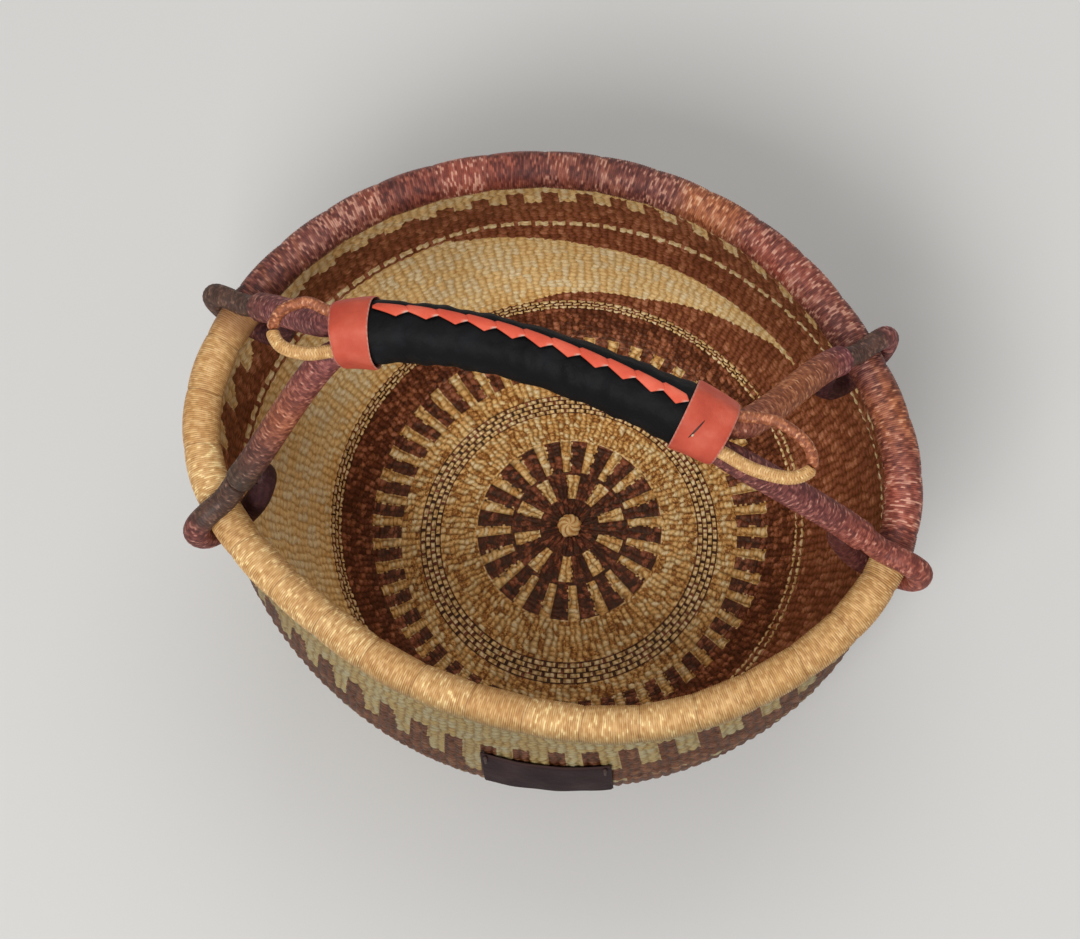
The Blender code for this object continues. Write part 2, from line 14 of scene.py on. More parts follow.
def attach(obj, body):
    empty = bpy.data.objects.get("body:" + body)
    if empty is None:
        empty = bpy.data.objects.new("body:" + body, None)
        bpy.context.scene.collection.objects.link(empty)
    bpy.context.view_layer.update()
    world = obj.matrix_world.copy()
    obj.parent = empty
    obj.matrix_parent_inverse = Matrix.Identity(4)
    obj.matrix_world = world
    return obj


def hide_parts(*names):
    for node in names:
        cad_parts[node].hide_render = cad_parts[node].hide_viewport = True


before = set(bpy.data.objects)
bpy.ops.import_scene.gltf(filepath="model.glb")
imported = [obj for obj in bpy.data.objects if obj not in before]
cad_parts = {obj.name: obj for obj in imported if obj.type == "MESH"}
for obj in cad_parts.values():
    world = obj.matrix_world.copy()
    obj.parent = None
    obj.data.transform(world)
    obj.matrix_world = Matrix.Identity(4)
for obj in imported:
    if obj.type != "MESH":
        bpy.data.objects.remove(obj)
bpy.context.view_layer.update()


# The view: a long lens above the near side of the basket, turned a little about its own axis.

camera_lens = bpy.data.cameras.new("studio_camera")
camera_lens.sensor_fit = "HORIZONTAL"
camera_lens.sensor_width = 36.0
camera_lens.lens = 102.494
camera_lens.clip_end = 30.0
camera = bpy.data.objects.new("studio_camera", camera_lens)
bpy.context.scene.collection.objects.link(camera)
camera.matrix_world = Matrix((
    (0.99434412, -0.06809347, 0.08150486, 0.13399807),
    (0.08625672, 0.96550513, -0.24568197, -0.43354008),
    (-0.06196402, 0.25132276, 0.96591787, 1.84546283),
    (0.0, 0.0, 0.0, 1.0)))
bpy.context.scene.camera = camera
bpy.context.scene.view_settings.view_transform = "Standard"


# The studio: a pale floor that runs up to a pale sky, a broad lamp high above the near side, and a weaker
# one behind. Together they light a level surface by about one, so colours show as they are written.

def screen(red, green, blue):
    """The linear colour of three screen values from 0 to 255."""
    share = np.array((red, green, blue)) / 255.0
    linear = np.where(share <= 0.04045, share / 12.92, ((share + 0.055) / 1.055)**2.4)
    return (*(float(x) for x in linear), 1.0)


def new_finish(name, roughness):
    """An empty Principled material, as its node tree and its shader."""
    finish = bpy.data.materials.new(name)
    finish.use_nodes = True
    shader = finish.node_tree.nodes["Principled BSDF"]
    shader.inputs["Roughness"].default_value = roughness
    return finish, finish.node_tree, shader


def add_node(tree, kind, **values):
    """A new node. A value goes to the node's own setting of that name, or else to its input."""
    node = tree.nodes.new(kind)
    for name, value in values.items():
        if hasattr(node, name):
            setattr(node, name, value)
        else:
            node.inputs[name.replace("_", " ")].default_value = value
    return node


FLOOR_HALF = 12.0
FLOOR_DROP = 0.0004
FLOOR_COLOUR = screen(214, 213, 211)
LAMP_AIM = (0.0, 0.0, 0.1)

floor_mesh = bpy.data.meshes.new("floor")
floor_mesh.from_pydata([(x * FLOOR_HALF, y * FLOOR_HALF, -FLOOR_DROP)
                        for x, y in ((-1, -1), (1, -1), (1, 1), (-1, 1))], [], [(0, 1, 2, 3)])
floor = bpy.data.objects.new("floor", floor_mesh)
bpy.context.scene.collection.objects.link(floor)
floor_finish, _, floor_shader = new_finish("floor", 0.42)
floor_shader.inputs["Base Color"].default_value = FLOOR_COLOUR
floor_shader.inputs["Specular IOR Level"].default_value = 0.25
floor_mesh.materials.append(floor_finish)

sky = bpy.data.worlds.new("sky")
bpy.context.scene.world = sky
sky.use_nodes = True
sky_light = sky.node_tree.nodes["Background"]
sky_light.inputs["Color"].default_value = (1.0, 0.99, 0.975, 1.0)
sky_light.inputs["Strength"].default_value = 0.40
sky_seen = add_node(sky.node_tree, "ShaderNodeBackground", Color=FLOOR_COLOUR, Strength=1.0)
sky_rays = add_node(sky.node_tree, "ShaderNodeLightPath")
sky_mix = add_node(sky.node_tree, "ShaderNodeMixShader")
sky.node_tree.links.new(sky_rays.outputs["Is Camera Ray"], sky_mix.inputs[0])
sky.node_tree.links.new(sky_light.outputs[0], sky_mix.inputs[1])
sky.node_tree.links.new(sky_seen.outputs[0], sky_mix.inputs[2])
sky.node_tree.links.new(sky_mix.outputs[0], sky.node_tree.nodes["World Output"].inputs["Surface"])

for lamp_name, place, power, width in (("lamp_key", (-0.40, -1.90, 2.85), 70.0, 1.4),
                                       ("lamp_back", (0.30, 1.60, 2.80), 22.0, 2.2)):
    lamp_data = bpy.data.lights.new(lamp_name, "AREA")
    lamp_data.energy = power
    lamp_data.size = width
    lamp = bpy.data.objects.new(lamp_name, lamp_data)
    bpy.context.scene.collection.objects.link(lamp)
    back = np.array(place) - LAMP_AIM
    back = back / np.linalg.norm(back)
    across = np.cross((0.0, 0.0, 1.0), back)
    across = across / np.linalg.norm(across)
    lamp.matrix_world = Matrix([[*row] for row in np.vstack([
        np.column_stack([across, np.cross(back, across), back, place]), (0, 0, 0, 1)]).tolist()])


# Base and wall: split grass twined round stakes of the same grass, row by row from the middle outward.
# New stakes are slipped in as the circle grows, and dyed and natural strands are swapped by hand to
# make the star, the rings, the crescents and the teeth below the rim.

BASE_RADIUS = 0.118
BELLY_RADIUS = 0.179
BELLY_SHARE = 0.574
WALL_ROUNDNESS = 1.35
WALL_THICKNESS = 0.005
FRONT_SWELL = 0.0068
FRONT_SWELL_DIRECTION = math.radians(265)
OVAL_GROWTH = 1.30
RIM_HEIGHT = 0.210
RIM_RADIUS = 0.1720
RIM_WAVES = ((2, 0.0193, -0.0086), (3, -0.0022, -0.0018), (4, 0.0027, -0.0024))
RIM_PULLS = ((1, 0.0020, -0.0003), (2, -0.0011, 0.0005), (4, 0.0003, 0.0012), (5, -0.0004, -0.0009),
             (6, 0.0009, -0.0003), (7, -0.0002, -0.0007))
RIM_PULLS_GROWTH = 4
GAP = 0.0003
FULL_TURN = 2 * math.pi
UP = np.array((0.0, 0.0, 1.0))

BASE_ROWS = 40
BASE_PITCH = 0.00295
RING_TWO_ROW = 49
RING_TWO_UP = 0.033
RING_THREE_ROW = 73
TOP_ROW = 100
TOP_UP = 0.2166
RING_THREE_UP = ((-180, 0.124), (-100, 0.128), (-82, 0.140), (-66, 0.143), (-50, 0.143), (-30, 0.136),
                 (-4, 0.134), (10, 0.141), (22, 0.138), (38, 0.131), (52, 0.123), (78, 0.117), (97, 0.118),
                 (112, 0.124), (180, 0.124))
TEETH_LOW = ((-180, 0.157), (-115, 0.158), (-106, 0.154), (-101, 0.143), (-96, 0.150), (-75, 0.164),
             (-60, 0.171), (-50, 0.173), (-30, 0.166), (0, 0.158), (104, 0.160), (122, 0.170), (152, 0.170),
             (168, 0.157), (180, 0.157))
TEETH_HIGH = ((-180, 0.182), (-99, 0.181), (-88, 0.187), (-74, 0.192), (-60, 0.197), (-50, 0.196),
              (-30, 0.190), (0, 0.183), (104, 0.181), (122, 0.177), (152, 0.177), (168, 0.182), (180, 0.182))
TEETH_SHIFT = ((-180, 0.0), (-120, -0.16), (-101, -0.12), (-75, 0.23), (-61, 0.28), (-53, 0.16),
               (-40, 0.10), (0, 0.0), (180, 0.0))
FIRST_STAKE_DEGREES = 11
FIRST_STAKE = math.radians(FIRST_STAKE_DEGREES)
STAKE_COUNTS = ((6.3, 25), (12, 50), (19.5, 60), (27, 120), (41.6, 150), (math.inf, 200))
STRAND_SLANT = 0.50
BASE_LEAN = ((0, 0.0), (19, 0.0022), (27, 0.0065), (31, 0.0075), (35, 0.0062), (40, 0.0))
RELIEF = 0.0015
STEPS_PER_ROW = 4
UNEVEN_STAKES = 0.10
UNEVEN_ROWS = 0.12
DEPTH_BY_STAKE = 0.04
DEPTH_BY_ROW = 0.22
THINNEST_STRAND = 0.62

CREAM_LOW = ((-180, 0.037), (-122, 0.037), (-104, 0.060), (-92, 0.090), (-88, 0.30), (34, 0.30),
             (35, 0.090), (42, 0.086), (49, 0.076), (58, 0.067), (66, 0.059), (76, 0.049), (96, 0.045),
             (107, 0.037), (180, 0.037))
CREAM_HIGH = ((-180, 0.30), (-136, 0.30), (-135, 0.118), (-120, 0.104), (-100, 0.095), (34, 0.093),
              (60, 0.091), (88, 0.095), (100, 0.104), (118, 0.119), (119, 0.30), (180, 0.30))
TEETH_POINTED = ((-180, 0.40), (-120, 0.12), (-95, 0.06), (-84, 0.0), (150, 0.0), (180, 0.40))
MIDDLE_END, WEDGES_END, RINGLET_END, STAR_END = 6.25, 11.5, 12.25, 19.25
DASHES_ONE = (26.75, 30.75)
DASHES_ONE_END = 31.0
BASE_TEETH = (35.0, 41.5)
DASHES_TWO = (48.0, 50.25)
DASHES_TWO_END = 50.5
DASHES_THREE = (72.5, 74.5)
WEDGES, SPOKES, TEETH = 10, 20, 50


def waves(terms, angle):
    """The sum of a list of waves round the mouth, each its count, its cosine part and its sine part."""
    return sum(c * np.cos(k * angle) + s * np.sin(k * angle) for k, c, s in terms)


def half_turns(degrees):
    """The same directions as degrees from -180 to 180."""
    return (degrees + 180) % 360 - 180


def read_off(table, place):
    """The value that a table of places and values gives at a place, on straight lines between them."""
    return np.interp(place, *zip(*table))


def mean_radius(share):
    """The wall's mean radius: a quarter superellipse up to the belly, then an ease to the rim."""
    low = (1 - np.clip(1 - share / BELLY_SHARE, 0, 1)**WALL_ROUNDNESS)**(1 / WALL_ROUNDNESS)
    high = np.clip((share - BELLY_SHARE) / (1 - BELLY_SHARE), 0, 1)
    return (BASE_RADIUS + (BELLY_RADIUS - BASE_RADIUS) * low
            + (RIM_RADIUS - BELLY_RADIUS) * high**2 * (2 - high))


def wall_radius(angle, share):
    """The mean radius, the mouth's waves and pulls growing with height, and the front's swell."""
    swell = FRONT_SWELL * np.cos(angle - FRONT_SWELL_DIRECTION) * np.sin(math.pi * share)
    return (mean_radius(share) + waves(RIM_WAVES, angle) * share**OVAL_GROWTH
            + waves(RIM_PULLS, angle) * share**RIM_PULLS_GROWTH + swell)


def wall_point(angle, share):
    """The middle of the wall, share going from 0 at the base to 1 at the rim."""
    share = np.clip(share, 0, None)
    radius = wall_radius(angle, share)
    base = WALL_THICKNESS / 2
    height = base + share * (RIM_HEIGHT - base)
    return np.stack([radius * np.cos(angle), radius * np.sin(angle), height + 0 * radius], -1)


def unit(vectors):
    """Vectors of length one, along the last axis."""
    return vectors / np.linalg.norm(vectors, axis=-1, keepdims=True)


def turns(count):
    """So many angles, evenly spaced round a full turn."""
    return np.linspace(0, FULL_TURN, count, endpoint=False)


def wall_normal(angle, share):
    """The wall's outward direction: square to a small step round it and a small step up it."""
    step = 1e-4
    around = wall_point(angle + step, share) - wall_point(angle - step, share)
    upward = wall_point(angle, share + step) - wall_point(angle, np.maximum(share - step, 0))
    return unit(np.cross(around, upward))


def length_along(line):
    """The distance from the first point of a line to each of its points."""
    return np.append(0.0, np.cumsum(np.linalg.norm(np.diff(line, axis=0), axis=-1)))


profile_share = np.linspace(0.0, 1.0, 1500)**2
profile_length = length_along(np.stack(
    [mean_radius(profile_share), profile_share * (RIM_HEIGHT - WALL_THICKNESS / 2)], -1))


def wall_length(angle, row):
    """How far up the wall's curve a row lies: in even steps to ring two, to ring three and to the top."""
    ring = read_off(RING_THREE_UP, half_turns(np.degrees(angle)))
    low = RING_TWO_UP * (row - BASE_ROWS) / (RING_TWO_ROW - BASE_ROWS)
    middle = RING_TWO_UP + (ring - RING_TWO_UP) * (row - RING_TWO_ROW) / (RING_THREE_ROW - RING_TWO_ROW)
    high = ring + (TOP_UP - ring) * (row - RING_THREE_ROW) / (TOP_ROW - RING_THREE_ROW)
    return np.where(row < RING_TWO_ROW, low, np.where(row < RING_THREE_ROW, middle, high))


def weave_point(angle, row, out):
    """A point of the weave: its row gives the distance from the middle, flat over the base and then up
    the wall's curve, and out is the distance from the middle of the thickness. On the base the rows
    were beaten in less on the near side, so they lean that way."""
    up = wall_length(angle, row)
    share = np.interp(up, profile_length, profile_share)
    radius = row * BASE_PITCH - read_off(BASE_LEAN, row) * np.sin(angle)
    flat = np.stack([radius * np.cos(angle), radius * np.sin(angle),
                     WALL_THICKNESS / 2 - out + 0 * radius], -1)
    wall = wall_point(angle, share) + wall_normal(angle, share) * np.asarray(out)[..., None]
    return np.where((row < BASE_ROWS)[..., None], flat, wall)


def stake_place(angle, row):
    """The number of the stake under a point, with the share of the way across it as its fraction."""
    count = np.select([row < last for last, _ in STAKE_COUNTS], [n for _, n in STAKE_COUNTS])
    return (angle - FIRST_STAKE) * count / FULL_TURN


def chance(first, second):
    """An even, repeatable spread from 0 to 1 for each pair of whole numbers, by mixing their digits."""
    a = np.floor(first).astype(np.int64)
    b = np.floor(second).astype(np.int64)
    mixed = (a * 73856093) ^ (b * 19349663)
    mixed = (mixed ^ (mixed >> 13)) * 1274126177
    return ((mixed ^ (mixed >> 16)) & 0xffff) / 65535.0


def by_hand(angle, row):
    """The stake's number and the row at a place, both pushed about a little, as handwork is: by a few
    waves of unlike length that run across each other."""
    push = (np.sin(23 * angle + 1.3 * row) + np.sin(41 * angle - 0.8 * row + 2)
            + np.sin(9 * angle + 2.1 * row + 4))
    lift = (np.sin(31 * angle + 0.7 * row + 1) + np.sin(57 * angle - 0.5 * row)
            + np.sin(13 * angle + 1.7 * row + 3))
    return stake_place(angle, row) + UNEVEN_STAKES * push, row + UNEVEN_ROWS * lift


def weave_relief(angle, row):
    """From 0 in the hollows to 1 on the strands: a ridge over each stake, times the swell of the strand
    that crosses it, which climbs as it crosses, with every strand a little thicker or thinner."""
    place, row = by_hand(angle, row)
    across = place % 1.0
    climbed = row - STRAND_SLANT * (across - 0.5)
    ridge = DEPTH_BY_STAKE + (1 - DEPTH_BY_STAKE) * np.sin(math.pi * across)**0.9
    swell = DEPTH_BY_ROW + (1 - DEPTH_BY_ROW) * np.abs(np.sin(math.pi * climbed))**0.8
    return ridge * swell * (THINNEST_STRAND + (1 - THINNEST_STRAND) * chance(place, climbed))


def between(row, limits):
    """True on the rows between two limits."""
    return (row > limits[0]) & (row < limits[1])


def dye_of_weave(angle, row):
    """The dye of the strand at a place, 0 for none, 1 for brown and 2 for the darkest, band by band
    outward: a dark middle, ten wedges, twenty spokes, a plain field, a ring of dashes, a plain ring,
    fifty teeth, a dark ring, a ring of dashes, the crescents, a dashed ring, brown, the rim's teeth."""
    degrees = half_turns(np.degrees(angle))
    from_first = np.degrees(angle) - FIRST_STAKE_DEGREES
    notch = 0.06 * (chance(row * 2, np.floor(from_first / 3.6)) - 0.5)
    up = wall_length(angle, row)
    cream = (up > read_off(CREAM_LOW, degrees)) & (up < read_off(CREAM_HIGH, degrees))

    def dashes(first_row, pitch, count):
        """True on short dashes in courses like bricks, so many to a turn, from a first row outward."""
        course = (row - first_row) / pitch
        turned = from_first * count / 360 + 0.5 * (np.floor(course) % 2)
        return (turned % 1.0 < 0.80) & (course % 1.0 > 0.25)

    right = np.abs(degrees) < 42
    ring_two = np.where(dashes(DASHES_TWO[0], 0.75, 150) & ~(right & (np.abs(row - 49.125) < 0.4)), 0.0,
                        np.where(right, 1.2, 2.0))
    tooth = (from_first * TEETH / 360 - 0.05 + read_off(TEETH_SHIFT, degrees)) % 1.0
    low, high = read_off(TEETH_LOW, degrees), read_off(TEETH_HIGH, degrees)
    down = np.clip((high - up) / (high - low), 0, 1)
    tooth_cream = (tooth > read_off(TEETH_POINTED, degrees) * down**1.6) & (tooth < 0.52) & (up > low)
    bands = (
        (MIDDLE_END, 2.0),
        (WEDGES_END, np.where((from_first * WEDGES / 360) % 1.0 < 0.4 + notch, 0.0, 2.0)),
        (RINGLET_END, 2.0),
        (STAR_END, np.where((from_first * SPOKES / 360) % 1.0 < 0.60 - 2 * notch, 2.0, 0.0)),
        (DASHES_ONE[0], 0.0),
        (DASHES_ONE_END, np.where(dashes(DASHES_ONE[0], 1.0, 75) & (row < DASHES_ONE[1]), 0.0, 2.0)),
        (BASE_TEETH[0], 0.0),
        (BASE_TEETH[1], np.where(((from_first + 3.1) * TEETH / 360 + notch) % 1.0 < 0.46 + 2 * notch,
                                 0.0, 1.8)),
        (DASHES_TWO[0], 1.6),
        (DASHES_TWO[1], ring_two),
        (DASHES_TWO_END, 1.5),
        (DASHES_THREE[0], np.where(cream, 0.0, 1.0)),
        (DASHES_THREE[1], np.where(dashes(DASHES_THREE[0], 2.0, 100), 0.0, 1.0)),
        (math.inf, np.where((up > high) | tooth_cream, 0.0, 1.0)),
    )
    return np.select([row < last for last, _ in bands], [value + 0 * row for _, value in bands])


def ring_surface(name, rings, along, around, ends):
    """An object whose surface is a stack of rings of points, with four cornered faces between them.

    ends is "joined" where the last ring meets the first, or "poles" where a fan of triangles closes
    each end on the middle of its ring. along and around are the UV values of the rows and columns.
    """
    rows, columns = rings.shape[:2]
    spans = rows if ends == "joined" else rows - 1
    row, column = np.meshgrid(np.arange(spans), np.arange(columns), indexing="ij")
    above = (row + 1) % rows
    beside = (column + 1) % columns
    quads = np.stack([row * columns + column, row * columns + beside,
                      above * columns + beside, above * columns + column], -1).reshape(-1, 4)
    quad_uv = np.stack([np.stack([around[column + right], along[row + up]], -1)
                        for right, up in ((0, 0), (1, 0), (1, 1), (0, 1))], -2).reshape(-1, 4, 2)
    points = rings.reshape(-1, 3)
    a, b, c, d = (points[quads[:, i]] for i in range(4))
    volume = (a * np.cross(b, c)).sum() + (a * np.cross(c, d)).sum()
    if ends == "poles":
        points = np.vstack([points, rings[0].mean(0), rings[-1].mean(0)])
        first, last = len(points) - 2, len(points) - 1
        this = np.arange(columns)
        other = (this + 1) % columns
        edge = (rows - 1) * columns
        fans = np.vstack([np.stack([np.full(columns, first), other, this], -1),
                          np.stack([np.full(columns, last), edge + this, edge + other], -1)])
        middle = 0.5 * (around[this] + around[this + 1])
        fan_uv = np.concatenate([
            np.stack([np.stack([place, 0 * place + end], -1)
                      for place in (middle, around[this + before], around[this + after])], 1)
            for end, before, after in ((along[0], 1, 0), (along[-1], 0, 1))])
    else:
        fans = np.zeros((0, 3), int)
        fan_uv = np.zeros((0, 3, 2))
    if volume < 0:
        quads, quad_uv, fans, fan_uv = quads[:, ::-1], quad_uv[:, ::-1], fans[:, ::-1], fan_uv[:, ::-1]
    mesh = bpy.data.meshes.new(name)
    mesh.vertices.add(len(points))
    mesh.vertices.foreach_set("co", points.astype(np.float32).ravel())
    mesh.loops.add(quads.size + fans.size)
    mesh.loops.foreach_set("vertex_index", np.append(quads.ravel(), fans.ravel()).astype(np.int32))
    mesh.polygons.add(len(quads) + len(fans))
    starts = np.append(4 * np.arange(len(quads)), quads.size + 3 * np.arange(len(fans)))
    mesh.polygons.foreach_set("loop_start", starts.astype(np.int32))
    mesh.update(calc_edges=True)
    mesh.shade_smooth()
    layer = mesh.uv_layers.new(name="surface")
    corners = np.vstack([quad_uv.reshape(-1, 2), fan_uv.reshape(-1, 2)])
    layer.uv.foreach_set("vector", corners.astype(np.float32).ravel())
    piece = bpy.data.objects.new(name, mesh)
    bpy.context.scene.collection.objects.link(piece)
    return piece


def rings_round(line, first, second, turn, radius):
    """Rings of points round a line: out from it by the radius, along the first direction at no turn and
    along the second at a quarter turn."""
    way = np.cos(turn)[..., None] * first[:, None, :] + np.sin(turn)[..., None] * second[:, None, :]
    return line[:, None, :] + radius[..., None] * way


def mark(piece, name, values, domain="POINT"):
    """Keeps a number for each point or face, for the material to read. The last number, or a lone one,
    fills what is left, such as the poles."""
    layer = piece.data.attributes.new(name, "FLOAT", domain)
    full = np.full(len(layer.data), float(np.ravel(values)[-1]), np.float32)
    full[:np.size(values)] = np.ravel(values)
    layer.data.foreach_set("value", full)


def settle(piece, finish, slot, *nodes):
    """Gives a piece its material and its place in the model."""
    piece.data.materials.append(finish)
    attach(piece, "root")
    if nodes:
        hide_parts(*nodes)


def colour_steps(tree, source, steps):
    """A ramp from one colour to the next, read by the value of source. Each step is a place from 0 to 1
    and either three screen values or, for a ramp that only shades another colour, four linear ones."""
    ramp = add_node(tree, "ShaderNodeValToRGB")
    entries = ramp.color_ramp.elements
    while len(entries) < len(steps):
        entries.new(0.5)
    for entry, (place, colour) in zip(entries, steps):
        entry.position = place
        entry.color = colour if len(colour) == 4 else screen(*colour)
    tree.links.new(source, ramp.inputs["Fac"])
    return ramp.outputs["Color"]


def blend_colours(tree, share, first, second, kind="MIX"):
    """A mix of two colours, each a socket or a plain colour, by a share that may be a socket too."""
    mix = add_node(tree, "ShaderNodeMix", data_type="RGBA", blend_type=kind)
    for socket, value in ((mix.inputs[0], share), (mix.inputs[6], first), (mix.inputs[7], second)):
        if isinstance(value, bpy.types.NodeSocket):
            tree.links.new(value, socket)
        else:
            socket.default_value = value
    return mix.outputs[2]


def streaks(tree, stretch, detail=3.0):
    """Fine noise drawn out along the strands: stretch is how many marks to the metre round and along."""
    place = add_node(tree, "ShaderNodeUVMap", uv_map="surface")
    turn = add_node(tree, "ShaderNodeMapping", Scale=(*stretch, 1.0))
    noise = add_node(tree, "ShaderNodeTexNoise", Scale=1.0, Detail=detail)
    tree.links.new(place.outputs[0], turn.inputs["Vector"])
    tree.links.new(turn.outputs[0], noise.inputs["Vector"])
    return noise.outputs["Fac"]


def cloud(tree, scale, detail=2.0):
    """Soft blotches in the object's own space, scale of them to the metre."""
    place = add_node(tree, "ShaderNodeTexCoord")
    noise = add_node(tree, "ShaderNodeTexNoise", Scale=scale, Detail=detail)
    tree.links.new(place.outputs["Object"], noise.inputs["Vector"])
    return noise.outputs["Fac"]


def number(tree, name):
    """The number kept on the mesh under a name."""
    return add_node(tree, "ShaderNodeAttribute", attribute_name=name).outputs["Fac"]


def raise_bump(tree, shader, height, strength, distance, under=None):
    """Small relief from a height socket, on top of another bump's where one is given."""
    bump = add_node(tree, "ShaderNodeBump", Strength=strength, Distance=distance)
    tree.links.new(height, bump.inputs["Height"])
    if under:
        tree.links.new(under, bump.inputs["Normal"])
    tree.links.new(bump.outputs[0], shader.inputs["Normal"])
    return bump.outputs[0]


woven, tree, shader = new_finish("woven_grass", 0.50)
shader.inputs["Specular IOR Level"].default_value = 0.45
shader.inputs["Specular Tint"].default_value = (1.0, 0.78, 0.56, 1.0)
tone = number(tree, "tone")
# The palest end of each ramp, which a few strands get at random, is painted highlight standing for glints on
# the strands; the rest is the grass's own uneven tone.
natural = colour_steps(tree, tone, ((0.0, (166, 110, 52)), (0.20, (230, 177, 104)), (0.55, (253, 213, 145)),
                                    (0.85, (255, 227, 168)), (1.0, (255, 238, 196))))
brown = colour_steps(tree, tone, ((0.0, (122, 66, 46)), (0.6, (166, 102, 76)), (1.0, (214, 152, 120))))
darkest = colour_steps(tree, tone, ((0.0, (60, 26, 16)), (0.65, (100, 46, 30)), (1.0, (160, 92, 66))))
dye = number(tree, "dye")
past_brown = add_node(tree, "ShaderNodeMath", operation="SUBTRACT", use_clamp=True)
past_brown.inputs[1].default_value = 1.0
tree.links.new(dye, past_brown.inputs[0])
strand_colour = blend_colours(tree, dye, natural,
                              blend_colours(tree, past_brown.outputs[0], brown, darkest))
# Painted shade: the strands' colour is darkened in the hollows of the weave, by the relief mark.
hollow = colour_steps(tree, number(tree, "relief"), (
    (0.0, (0.15, 0.08, 0.03, 1)), (0.35, (0.64, 0.52, 0.36, 1)), (0.66, (1, 1, 1, 1))))
strand_colour = blend_colours(tree, 1.0, strand_colour, hollow, "MULTIPLY")
# Painted shade: the whole outer face is darkened, standing for the weaker light that reaches the outside.
outside_shade = blend_colours(tree, number(tree, "outside"), (1.0, 1.0, 1.0, 1.0), (0.37, 0.38, 0.36, 1.0))
strand_colour = blend_colours(tree, 1.0, strand_colour, outside_shade, "MULTIPLY")
fibre = streaks(tree, (260.0, 1500.0))
fibre_colour = colour_steps(tree, fibre, ((0.25, (0.74, 0.70, 0.64, 1)), (0.55, (1, 1, 1, 1)),
                                          (0.80, (1.12, 1.12, 1.10, 1))))
aged = colour_steps(tree, cloud(tree, 13.0), ((0.30, (0.86, 0.84, 0.80, 1)), (0.65, (1.04, 1.03, 1.0, 1))))
worn = blend_colours(tree, 1.0, blend_colours(tree, 1.0, strand_colour, fibre_colour, "MULTIPLY"),
                     aged, "MULTIPLY")
tree.links.new(worn, shader.inputs["Base Color"])
raise_bump(tree, shader, fibre, 0.45, 0.0005)

SOFTER_SHADE_ON_WALL = 0.26
EVENER_ON_WALL = 0.50
EVENER_FIELDS = 0.35
PAINTED_LIGHT_ON_WALL_FIELDS = 0.34
STRAND_TONES = 1.20
FIBRE_TONES = 0.50
TONES_DOWN = 0.35
PALER_DASHES = 0.78
PALER_BASE_FIELDS = 0.30
MISSED_DASHES = 0.6
INNER_FACE_STRANDS = 4000

